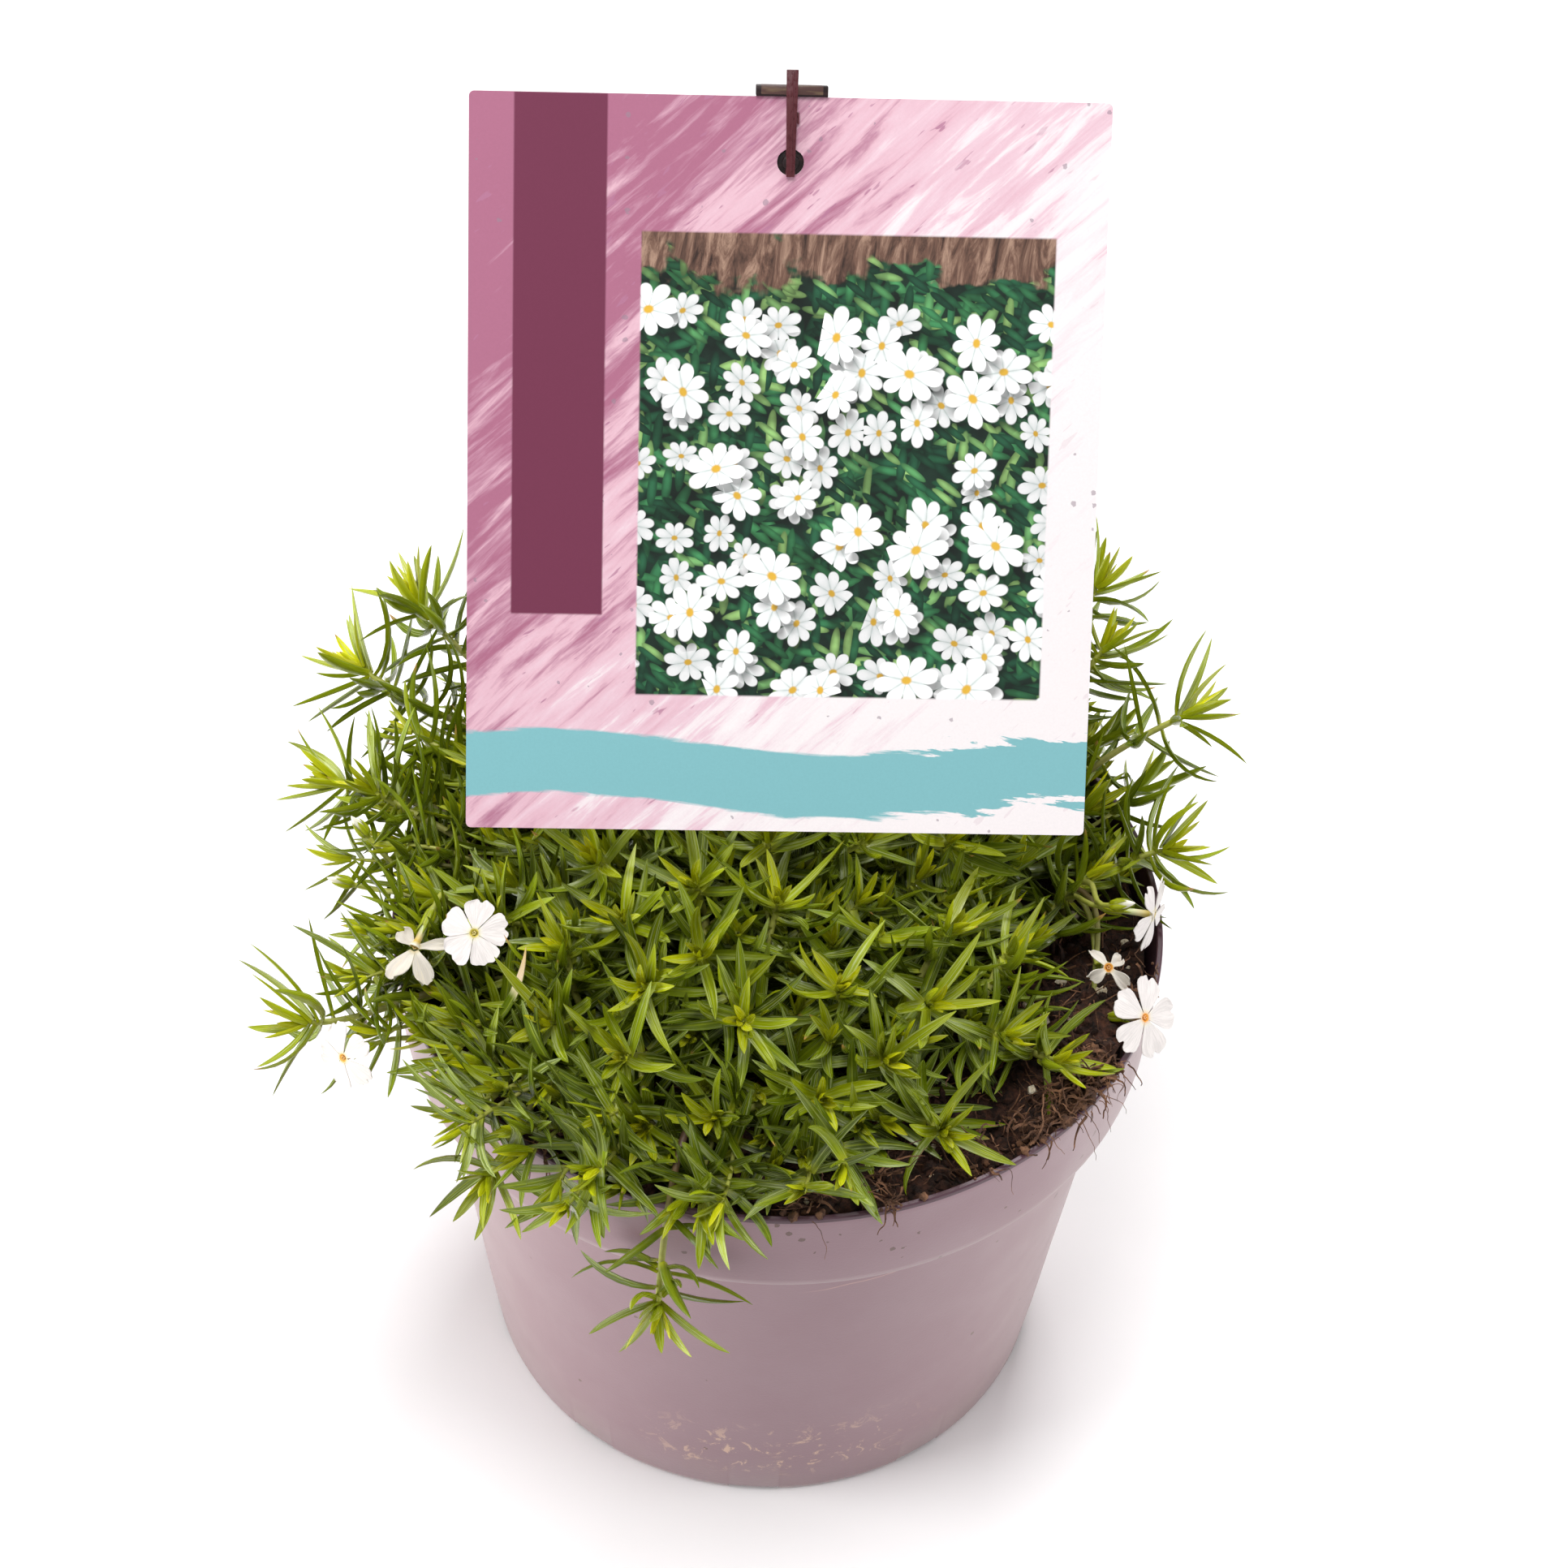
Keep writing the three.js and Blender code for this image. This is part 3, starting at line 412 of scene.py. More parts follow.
def floweringShoot(name, root, tip, ownFlowers, *buds):
    return {"name": name, "root": root, "tips": [onMat(*tip)], "flowers": ownFlowers, "buds": buds}


# a corolla's look says how wilted it is, how orange its eye is and how far its petals crumple
flowers = {
    "flower_left_open": {
        "at": (-71, -39, 178), "facing": (-0.1, -0.55, 0.8), "roll": 8,
        "length": 8, "width": 7.6, "notch": 0.7, "curl": 0.04, "tube": 9, "look": (0.0, 0.15, 0.35),
    },
    "flower_left_wilted": {
        "at": (-86, -33, 165), "facing": (-0.3, -0.75, -0.3), "shown": (-0.15, -0.5, 0.8),
        "length": 9.6, "width": 7, "notch": 0.6, "curl": 0.0, "tube": 9, "look": (0.6, 0.4, 1.6),
        # each limp petal's degrees from straight down, and its share of the length and the width
        "limp": [(-15, 1, 1), (36, 1, 0.85), (-127, 0.55, 0.8), (112, 0.9, 0.5)],
    },
    "flower_low_left": {
        "at": (-101, -58, 153), "facing": (-0.5, -0.6, 0.3), "roll": 20,
        "length": 8.5, "width": 6.4, "notch": 1, "curl": 0.15, "tube": 9, "look": (0.15, 0.7, 0.6),
    },
    "flower_right_side_on": {
        "at": (91, -9, 161), "facing": (1, -0.1, -0.05), "shown": (0.9, -0.42, 0.12), "roll": 20,
        "length": 9.5, "width": 6, "notch": 1.4, "curl": 0.1, "tube": 11, "look": (0.0, 0.3, 0.5),
    },
    "flower_right_wilted": {
        "at": (80, -23, 157), "facing": (0.15, -0.6, 0.7), "shown": (0.1, -0.5, 0.85),
        "length": 6, "width": 4.6, "notch": 0.5, "curl": 0.05, "tube": 8, "look": (0.5, 0.9, 1.5),
        "limp": [(-150, 1.05, 0.9), (120, 0.7, 0.9), (-62, 0.9, 0.9), (40, 1.15, 0.9)],
    },
    "flower_right_open": {
        "at": (89, -34, 152), "facing": (0.6, -0.5, 0.6), "roll": 24,
        "length": 10, "width": 8, "notch": 1.7, "curl": 0.06, "tube": 11, "look": (0.0, 1.0, 0.4),
    },
}

# each front shoot's tips, in order
frontTips = [
    [(-37, -33), (-31, -49)], [(-53, -53), (-51, -37)], [(-35, -63), (-29, -77)], [(-7, -57), (0, -30)],
    [(12, -71), (-13, -76)], [(37, -47), (41, -29)], [(55, -48), (56, -28)], [(41, -72)], [(68, -48)],
    [(27, -61), (15, -48)], [(-68, -24)], [(-20, -26), (-18, -43)], [(-69, -58)],
]
placedShoots = [
    longShoot("shoot_front_left_hanging", (-50, -58), (-65, -83, 141), (-0.4, -0.6, -0.75), 20,
              opening=(-0.2, -0.9, 1.1)),
    longShoot("shoot_front_hanging", (-18, -74), (-24, -102, 119), (0, -0.05, -1), 20, 0.88,
              opening=(0, -1.2, 1.1)),
    longShoot("shoot_left_long", (-68, -30), (-112, -46, 151), (-0.95, -0.2, 0.3), 20, lift=0.25),
    longShoot("shoot_left", (-72, 6), (-101, 14, 169), (-0.7, 0, 0.7), 18),
    longShoot("shoot_left_low", (-76, 18), (-112, 27, 157), (-0.9, 0, 0.45), 18),
    longShoot("shoot_back_left_out", (-66, 38), (-108, 54, 171), (-0.8, 0.3, 0.55), 19),
    longShoot("shoot_back_left", (-62, 50), (-95, 70, 180), (-0.6, 0.45, 0.7), 19),
    longShoot("shoot_right_out", (66, 30), (99, 40, 181), (0.8, 0.1, 0.5), 20),
    longShoot("shoot_right", (70, 6), (95, 13, 161), (0.8, -0.1, 0.5), 19),
    longShoot("shoot_back_right", (58, 44), (79, 62, 182), (0.5, 0.4, 0.8), 18),
    longShoot("shoot_back_right_tall", (50, 60), (78, 86, 180), (0.45, 0.5, 0.75), 18),
    *({"name": f"shoot_front_{i + 1}", "tips": [onMat(*tip) for tip in tips]}
      for i, tips in enumerate(frontTips)),
    floweringShoot("shoot_flowering_left", (-56, -16), (-84, -12), ["flower_left_open", "flower_left_wilted"],
                   ((-101, 3, 164), (-0.5, 0.1, 0.8)), ((-104, -6, 156), (-0.8, -0.2, 0.5))),
    floweringShoot("shoot_flowering_low_left", (-68, -48), (-83, -47), ["flower_low_left"]),
    floweringShoot("shoot_flowering_right", (62, -10), (76, 4),
                   ["flower_right_side_on", "flower_right_wilted", "flower_right_open"],
                   ((80, -11, 166), (0.7, -0.3, 0.5))),
]


def apart(a, b):
    return math.hypot(a["at"][0] - b["at"][0], a["at"][1] - b["at"][1])


# nothing grows on the bare soil at the front right
def isBare(x, y):
    first, last = plant["bareBearings"]
    return math.hypot(x, y) > plant["bareFrom"] and first < math.degrees(math.atan2(y, x)) < last


# places in a sunflower's order, from the middle out
def sunflower(count, reach, turn=0):
    for i in range(count):
        angle = i * goldenTurn + turn
        yield np.array([math.cos(angle), math.sin(angle)]) * (reach * math.sqrt((i + 0.5) / count))


# tips over the cushion, wherever no placed tip is near
def fillingTips(placed):
    found = []
    for fromMiddle in sunflower(plant["candidates"], plant["matReach"]):
        x, y = plant["matMiddle"] + fromMiddle
        tip = onMat(x, y)
        if not isBare(x, y) and all(apart(tip, other) > plant["tipSpacing"] for other in placed + found):
            found.append(tip)
    return found


def pairedShoots(tips):
    left, made = list(tips), []
    while left:
        first = left.pop(0)
        left.sort(key=lambda tip: apart(tip, first))
        shoot = {"name": f"shoot_{len(made) + 1:02d}", "tips": [first]}
        if left and apart(left[0], first) < plant["pairWithin"]:
            shoot["tips"].append(left.pop(0))
        made.append(shoot)
    return made


def rootOf(shoot):
    if "root" in shoot:
        return shoot["root"]
    middle = np.mean([tip["at"][:2] for tip in shoot["tips"]], axis=0)
    return tuple(mix(plant["matMiddle"][axis], middle[axis], plant["rootSpread"]) for axis in (0, 1))


shoots = placedShoots + pairedShoots(fillingTips([tip for shoot in placedShoots for tip in shoot["tips"]]))


# ---- the plant: its stems ----

# leaves one point along one direction, arrives at another along its own, and is measured by its length
class ReachingCurve:
    def __init__(self, start, startWay, end, endWay, arch=plant["arch"]):
        span = arch * np.linalg.norm(end - start)
        self.corners = [start, start + startWay * span, end - endWay * span, end]
        self.steps = np.linspace(0, 1, 201)
        self.run = runAlong(self.at(self.steps))
        self.length = self.run[-1]

    def at(self, t):
        t = np.asarray(t, float)[..., None]
        a, b, c, d = self.corners
        return (1 - t) ** 3 * a + 3 * (1 - t) ** 2 * t * b + 3 * (1 - t) * t * t * c + t ** 3 * d

    def heading(self, t):
        t = np.asarray(t, float)[..., None]
        a, b, c, d = self.corners
        return unitRows((1 - t) ** 2 * (b - a) + 2 * (1 - t) * t * (c - b) + t * t * (d - c))

    # the step at a distance down from the end
    def down(self, distance):
        return np.interp((1 - np.asarray(distance) / self.length) * self.length, self.run, self.steps)


# pairs of leaves by their distance down from the stem's end, angle off the stem, size, age, side and turn
def leafPairTable(*rows):
    return [dict(zip(("down", "angle", "size", "age", "side", "turn"), row)) for row in rows]


leafPairs = leafPairTable((1.1, 30, 0.6, 0.22), (2.8, 52, 0.9, 0.34), (4.5, 72, 1, 0.44), (7.6, 86, 1, 0.55),
                          (13.6, 92, 0.85, 0.72))


def stemsOf(shoot):
    x, y = rootOf(shoot)
    foot = np.array([x, y, soilHeight(x, y) + plant["rise"]])
    mainTip, *others = shoot["tips"]
    main = ReachingCurve(foot, np.array([0, 0, 1.0]), np.array(mainTip["at"], float), unit(mainTip["way"]),
                         mainTip.get("arch", plant["arch"]))

    def branch(share, end, way):
        start = main.at(share)
        return ReachingCurve(start, unit(main.heading(share) + unit(end - start)), end, unit(way))

    made = [{"curve": main, "tip": mainTip, "isMain": True}]
    for tip in others:
        made.append({"curve": branch(plant["forkAt"], np.array(tip["at"], float), tip["way"]), "tip": tip})
    ends = []
    for name in shoot.get("flowers", []):
        flower = flowers[name]
        drop = flower["tube"] + plant["calyxFloor"] + plant["clearance"]
        ends.append(("flower", np.array(flower["at"]) - unit(flower["facing"]) * drop, flower["facing"]))
    ends += [("bud", np.array(at, float), way) for at, way in shoot.get("buds", [])]
    for i, (endsIn, end, way) in enumerate(ends):
        share = plant["lowestStalk"] + i * plant["stalkStep"]
        made.append({"curve": branch(share, end, way), "endsIn": endsIn})
    return made


# how far down from the end each leaf pair's foot lies, beside the other steps of the stem
def ringMarks(stem):
    length = stem["curve"].length
    if "endsIn" in stem:
        ends = {"flower": (-1.5, -7, -7, -2.1, 0), "bud": (-7, -2.8, 0)}
        marks = [(down, None) for down in ends[stem["endsIn"]]]
    else:
        marks = []
        for pair in leafPairs:
            if pair["down"] < length - plant["bareFoot"]:
                upper = pair["down"] - plant["footHeight"] / 2
                if not marks or upper > marks[-1][0]:
                    marks.append((upper, None))
                marks.append((pair["down"] + plant["footHeight"] / 2, pair))
    last = marks[-1][0]
    steps = max(2, math.floor((length - last) / 16 + 0.5))
    return marks + [(mix(last, length, i / steps), None) for i in range(1, steps + 1)]


# a steady frame (along, side, front) at distances down from the end of a stem
def framesDown(curve, sideways, downs):
    side, frames = sideways, []
    for down in downs:
        along = curve.heading(curve.down(down))
        side = unit(side - along * np.dot(side, along))
        frames.append((along, side, np.cross(along, side)))
    return frames


stems = []
for shoot in shoots:
    for stem in stemsOf(shoot):
        draw = seededDraws(len(stems))
        turn = draw(0, math.pi)
        stem["sideways"] = np.array([math.cos(turn), math.sin(turn), 0])
        stem["marks"] = ringMarks(stem)
        stem["frames"] = framesDown(stem["curve"], stem["sideways"], [down for down, pair in stem["marks"]])
        stem.update(shoot=shoot, draw=draw, leaves=[], thickness=1 if "tip" in stem else plant["stalkShare"])
        stems.append(stem)
print("stems placed:", len(stems))


# ---- the plant: leaves that keep clear of each other ----

# points, headings and upper-side directions along a leaf that turns evenly off its stem and rises to the light
def leafArc(leaf, shares):
    first, last, along, out = leaf["first"], leaf["last"], leaf["along"], leaf["out"]
    turn, shares = last - first, np.asarray(shares)[:, None]
    angle = first + turn * shares
    forward = (np.sin(angle) - math.sin(first)) / turn
    outward = (math.cos(first) - np.cos(angle)) / turn
    rise = np.array([0, 0, leaf["rise"]])
    points = leaf["start"] + leaf["length"] * (along * forward + out * outward + rise * shares ** 2)
    heading = unitRows(along * np.cos(angle) + out * np.sin(angle) + 2 * rise * shares)
    face = along * np.sin(angle) - out * np.cos(angle)
    return points, heading, unitRows(face - heading * (face * heading).sum(1, keepdims=True))


beadShares = np.linspace(0.1, 1, 10)
beadFullness = np.where(beadShares < 0.42, mix(0.6, 1, beadShares / 0.42),
                        mix(1, 0.1, (beadShares - 0.42) / 0.58)) / 2
cardInverse = np.array(cardPlace.inverted())


# beads strung along all that has grown so far
class GrownThings:
    def __init__(self):
        self.count = 0
        self.middles = np.zeros((9000, 3))
        self.reaches = np.zeros(9000)
        self.strings = []

    def enclosing(self, beads):
        middle = (beads.min(0) + beads.max(0)) / 2
        return middle, np.linalg.norm(beads - middle, axis=1).max() + 2

    def add(self, beads, radii, curve=None, isLeaf=False):
        self.middles[self.count], self.reaches[self.count] = self.enclosing(beads)
        self.strings.append((beads, radii, curve, isLeaf))
        self.count += 1

    def isClear(self, beads, radii, curve, gap):
        middle, reach = self.enclosing(beads)
        away = np.linalg.norm(self.middles[:self.count] - middle, axis=1)
        for i in np.nonzero(away <= self.reaches[:self.count] + reach)[0]:
            others, otherRadii, otherCurve, isLeaf = self.strings[i]
            kin = otherCurve is curve
            room = (np.linalg.norm(beads[:, None] - others[None], axis=2)
                    - radii[:, None] - otherRadii[None] - (0 if kin else gap))
            if kin:
                room[:3, :3 if isLeaf else None] = 1  # a leaf's foot may touch its own stem and tuft
            if (room < 0).any():
                return False
        return True


def clearOfPotAndCard(beads, radii, gap):
    margin = radii + gap
    x, y, z = beads.T
    out = np.hypot(x, y)
    outer = np.array([potOuterRadius(min(height, pot["height"])) for height in z])
    free = (z > pot["height"] + margin) | (out > outer + margin)
    free |= (z > soilHeight(x, y) + margin + 0.6) & (out < outer - pot["wall"] - margin)
    local = np.abs(beads @ cardInverse[:3, :3].T + cardInverse[:3, 3])
    halves = np.array([card["width"], card["thickness"], card["height"]]) / 2
    return (free & (local > halves + margin[:, None]).any(1)).all()


# the frame at a distance down a stem, and the way out of it to one of its four sides
def frameAt(stem, down):
    return framesDown(stem["curve"], stem["sideways"], np.linspace(0, down, 5))[-1]


def outwards(sideways, front, side):
    return (front if side % 2 == 0 else sideways) * (-1 if side in (1, 2) else 1)


# a leaf of a pair; its bend is how far it turns from its foot to its tip, and its shade adds to its age, a painted
# shade that darkens it
def newLeaf(pair, turn, length, angle, bend, rise, narrowest, shade=0):
    return {
        "down": pair["down"], "turn": math.radians(turn), "length": length, "rise": rise,
        "first": math.radians(angle - bend / 2), "last": math.radians(angle + bend / 2),
        "width": plant["leafWidth"] * mix(narrowest, 1, pair["size"]), "age": pair["age"] + shade,
    }


# one leaf on a side of its stem, turned until it is clear, or left out
def growLeaf(stem, leaf, frameHere, side, reach, gap, slim):
    along, sideways, front = frameHere
    opening = np.array(stem.get("tip", {}).get("opening", (0, 0, 0)))
    if opening.any():
        along = unit(along + opening * max(0, 1 - leaf["down"] / plant["openedPart"]))
        sideways = unit(sideways - along * np.dot(sideways, along))
        front = np.cross(along, sideways)
    out = outwards(sideways, front, side)
    leaf["along"] = along
    leaf["start"] = stem["curve"].at(stem["curve"].down(leaf["down"])) + out * plant["footSink"] * reach
    radii = slim * np.maximum(beadFullness * leaf["width"], 0.45)
    for dodge in (0, 12, -12, 24, -24):
        leaf["out"] = turned(out, along, leaf["turn"] + math.radians(dodge))
        beads = leafArc(leaf, beadShares)[0]
        if clearOfPotAndCard(beads, radii, gap) and grown.isClear(beads, radii, stem["curve"], gap):
            grown.add(beads, radii, stem["curve"], True)
            stem["leaves"].append(leaf)
            return


def facingTurn(way):
    return np.array(Vector((0, 0, 1)).rotation_difference(Vector(way).normalized()).to_matrix())


# how a corolla's face is turned, and each petal's angle in it, length and width
def petalWays(flower):
    facing, length, width = facingTurn(flower.get("shown", flower["facing"])), flower["length"], flower["width"]
    if "limp" in flower:
        x, y, z = facing.T @ np.array([0, 0, -1])
        return facing, [(math.atan2(y, x) + math.radians(way), length * longer, width * wider)
                        for way, longer, wider in flower["limp"]]
    step = 360 / plant["petals"]
    return facing, [(math.radians(flower["roll"] + step * i), length, width) for i in range(plant["petals"])]


# beads along the petals, and again before them, where leaves would hide the flower
def petalBeads(flower):
    facing, petals = petalWays(flower)
    beads, radii = [(0, 0, 0)], [1.9]
    for way, length, width in petals:
        for share in (0.35, 0.6, 0.85):
            out = share * length
            beads.append((out * math.cos(way), out * math.sin(way), -flower["curl"] * out * share))
            radii.append(0.4 * width)
    beads = np.array([(x, y, z + ahead) for ahead in plant["clearAhead"] for x, y, z in beads])
    return beads @ facing.T + np.array(flower["at"]), np.array(radii * len(plant["clearAhead"]))


# the label's stake: down the card's back, then away from it in a bow, upright into the soil
stake = {
    "width": 2.6,
    "depth": 2.6,
    "groove": 0.8,
    "cardGap": 0.3,
    "footY": 10,
    "bendHeight": 238,
    "buried": 60,
    "reach": 1.84,  # how close a leaf's middle may come to its own
}
holeHeight = card["height"] / 2 - card["holeDrop"]
stemBack = card["thickness"] / 2 + stake["cardGap"] + stake["depth"] / 2


def onCard(x, y, z):
    return np.array(cardPlace @ Vector((x, y, z)))


stakeX = round(onCard(0, stemBack, 0)[0])
stakeKnots = [
    onCard(0, stemBack, card["height"] / 2 + 0.6),
    onCard(0, stemBack, holeHeight - 8),
    onCard(0, stemBack + 1.5, holeHeight - 45),
    np.array([stakeX, stake["footY"] + 2, stake["bendHeight"]]),
    np.array([stakeX, stake["footY"], stake["bendHeight"] - 50]),
    np.array([stakeX, stake["footY"], soil["height"]]),
    np.array([stakeX, stake["footY"], soilHeight(stakeX, stake["footY"]) - stake["buried"]]),
]


# the curve through knots that keeps their spacing in mind
def knottedCurve(knots, perSpan):
    knots = [2 * knots[0] - knots[1], *knots, 2 * knots[-1] - knots[-2]]
    points = []
    for i in range(1, len(knots) - 2):
        spans = [max(np.linalg.norm(knots[i + k] - knots[i + k - 1]) ** 0.5, 1e-4) for k in (0, 1, 2)]
        p0, p1, p2, p3 = knots[i - 1:i + 3]
        startWay = ((p1 - p0) / spans[0] - (p2 - p0) / (spans[0] + spans[1]) + (p2 - p1) / spans[1]) * spans[1]
        endWay = ((p2 - p1) / spans[1] - (p3 - p1) / (spans[1] + spans[2]) + (p3 - p2) / spans[2]) * spans[1]
        for t in np.arange(perSpan) / perSpan:
            points.append(p1 + startWay * t + (3 * (p2 - p1) - 2 * startWay - endWay) * t * t
                          + (2 * (p1 - p2) + startWay + endWay) * t ** 3)
    return np.array(points + [knots[-2]])


def spacedBeads(points, radius):
    run = runAlong(points)
    marks = np.linspace(0, run[-1], math.ceil(run[-1] / 1.5) + 1)
    beads = np.stack([np.interp(marks, run, points[:, axis]) for axis in range(3)], axis=1)
    return beads, np.full(len(beads), radius)


grown = GrownThings()
for stem in stems:
    grown.add(*spacedBeads(stem["curve"].at(stem["curve"].steps), plant["stemRadius"]), stem["curve"])
for flower in flowers.values():
    grown.add(*petalBeads(flower))
grown.add(*spacedBeads(knottedCurve(stakeKnots, 16), stake["reach"]))


# both leaves of a pair, where the stem has its foot
def growPair(stem, pair, sides):
    draw = stem["draw"]
    for (down, marked), frameHere in zip(stem["marks"], stem["frames"]):
        for side in sides if marked is pair else ():
            full = stem["tip"].get("leafLength", plant["leafLength"]) * plant["leafStretch"]
            turn, size, nudge, swing = draw(-12, 12), pair["size"] * draw(0.88, 1.1), draw(-6, 6), draw(-24, 30)
            angle = 0.95 * pair["angle"] + (nudge + swing) / 2
            bend = (plant["bend"] * (swing + 24) / 54 - plant["inward"]) * min(1, pair["angle"] / 65)
            rise = 0.16 + turn / 90 + stem["tip"].get("lift", 0)
            leaf = newLeaf(pair, turn, full * size, angle, bend, rise, 0.75)
            share = 1 - down / stem["curve"].length
            reach = stem["thickness"] * mix(plant["stemRadius"], plant["tipRadius"], share)
            growLeaf(stem, leaf, frameHere, side, reach, plant["leafGap"], plant["leafRoom"])


# the outer pairs go first, at every tip in turn, so that each tip keeps its share
for order, pair in enumerate(reversed(leafPairs)):
    for stem in stems:
        growPair(stem, pair, (order % 2, order % 2 + 2))
print("main leaves:", sum(len(stem["leaves"]) for stem in stems))


# ---- the plant: young leaves in each tip, older ones down the stems, and short side sprigs ----

smallLeaves = {
    "gap": 0.04,
    "slim": 0.49,  # leaves of one tuft nearly touch, so they are tested slimmer than they are
    "longFrom": 20,  # shoots with leaves this long bear them in whorls, with bare stem between
    "skippedDowns": (6.1, 8.9, 10.4, 18.4, 21.6, 32),
    "pairs": leafPairTable(
        (0.75, 15, 0.5, 0.1, 1, 0), (0.45, 9, 0.42, 0.02, 0, 20), (0.3, 6, 0.3, 0.0, 1, 40),
        (1.9, 36, 0.72, 0.28, 0, 45), (3.6, 62, 0.88, 0.4, 0, 45), (6.1, 74, 0.94, 0.5, 0, 45),
        (10.4, 76, 0.95, 0.62, 0, 45), (8.9, 82, 0.92, 0.6, 1, 10), (12.4, 82, 0.9, 0.66, 1, 30),
        (15.6, 80, 0.9, 0.74, 0, 20), (18.4, 78, 0.88, 0.78, 1, 0), (21.6, 78, 0.86, 0.84, 0, 0),
        (24.8, 74, 0.84, 0.9, 1, 0), (28.4, 72, 0.82, 0.95, 0, 0), (32, 70, 0.78, 1, 1, 0),
        (36.5, 70, 0.74, 1, 0, 0), (41, 70, 0.7, 1, 1, 0)),
}
sprigs = {
    "downs": (9.5, 15, 19, 24.5, 31),
    "lengths": (5, 11),
    "thickness": 0.5,
    "share": 0.4,  # of the places that have room for one
    "leavesUnder": 19,  # shoots with longer leaves than this bear none
    "pairs": leafPairTable((0.15, 8, 0.34, 0.08, 0, 0), (0.7, 24, 0.48, 0.22, 1, 0), (1.8, 46, 0.6, 0.4, 0, 0),
                           (3.6, 62, 0.66, 0.55, 1, 0), (6, 70, 0.62, 0.68, 0, 0)),
}
# low shoots between the others, which close the cushion
undergrowth = {
    "candidates": 900,
    "spacing": 6.6,
    "drops": (3, 20),  # how far their tips stay under the cushion's top
    "overSoil": 7,
    "thickness": 0.62,
    "room": 0.7,
    "rootSpread": 0.86,
    "overRim": [  # degrees from and to, how many, distances from the middle, heights
        (6, 284, 52, (84, 93), (154, 165)),
        (6, 284, 52, (93, 103), (149, 157)),
        (188, 250, 52, (90, 110), (146, 162)),
        (140, 186, 14, (94, 110), (154, 168)),
        (246, 268, 18, (92, 103), (142, 154)),
    ],
    "rimRoom": 0.3,  # the stems over the rim may pass close by others
    "fewestLeaves": 6,
}


def growSmallPair(stem, pair):
    length = stem["curve"].length
    if pair["down"] > length - (1 if "isSprig" in stem else plant["bareFoot"]):
        return
    leafLength = stem.get("tip", {}).get("leafLength", plant["leafLength"])
    if leafLength >= smallLeaves["longFrom"] and pair["down"] in smallLeaves["skippedDowns"]:
        return
    draw, frameHere = stem["draw"], frameAt(stem, pair["down"])
    reach = stem["thickness"] * mix(plant["stemRadius"], plant["tipRadius"], 1 - pair["down"] / length)
    full = leafLength * plant["leafStretch"]
    for side in (pair["side"], pair["side"] + 2):
        angle = 0.93 * pair["angle"] + draw(-12, 14)
        bend = draw(-95, 50) * min(1, pair["angle"] / 65)
        leaf = newLeaf(pair, pair["turn"] + draw(-14, 14), full * pair["size"] * draw(0.8, 1.15), angle, bend,
                       draw(0, 0.32) * pair["size"], 0.5, stem.get("shade", 0))
        growLeaf(stem, leaf, frameHere, side, reach, smallLeaves["gap"], smallLeaves["slim"])


# a short sprig out of a leaf's foot, bending upwards, if there is room for it
def growSprig(stem, down, side, draw):
    along, sideways, front = frameAt(stem, down)
    out = outwards(sideways, front, side)
    start = stem["curve"].at(stem["curve"].down(down)) + out * 0.4
    way = unit(out + along * draw(0.5, 1.1))
    endWay = unit(way + np.array([draw(-0.3, 0.3), draw(-0.3, 0.3), draw(0.3, 1.1)]))
    curve = ReachingCurve(start, way, start + unit(way + endWay) * draw(*sprigs["lengths"]), endWay)
    beads, radii = spacedBeads(curve.at(curve.steps), 0.6)
    far = beads[2:], radii[2:]
    if not clearOfPotAndCard(*far, 0.4) or not grown.isClear(*far, curve, 0.3):
        return []
    grown.add(beads, radii, curve)
    return [{
        "curve": curve, "sideways": unit(np.cross(endWay, (0.3, 0.8, 0.2))), "leaves": [], "isSprig": True,
        "thickness": sprigs["thickness"], "shoot": stem["shoot"], "draw": draw,
    }]


# a low stem from the soil to its end, if there is room for it
def growLowStem(end, way, rootX, rootY, draw, room):
    foot = np.array([rootX, rootY, soilHeight(rootX, rootY)])
    curve = ReachingCurve(foot, unit([draw(-0.3, 0.3), draw(-0.3, 0.3), 1]), np.array(end), unit(way))
    beads, radii = spacedBeads(curve.at(curve.steps), room)
    if not clearOfPotAndCard(beads[3:], radii[3:], 1 - room) or not grown.isClear(beads, radii, curve, 0.1):
        return []
    grown.add(beads, radii, curve)
    # their leaves get a little extra age, so they are darker: painted shade low in the cushion
    return [{
        "curve": curve, "sideways": unit((draw(-1, 1), draw(-1, 1), 0)), "leaves": [], "shade": 0.1,
        "thickness": undergrowth["thickness"], "shoot": None, "draw": draw, "isMain": True,
    }]


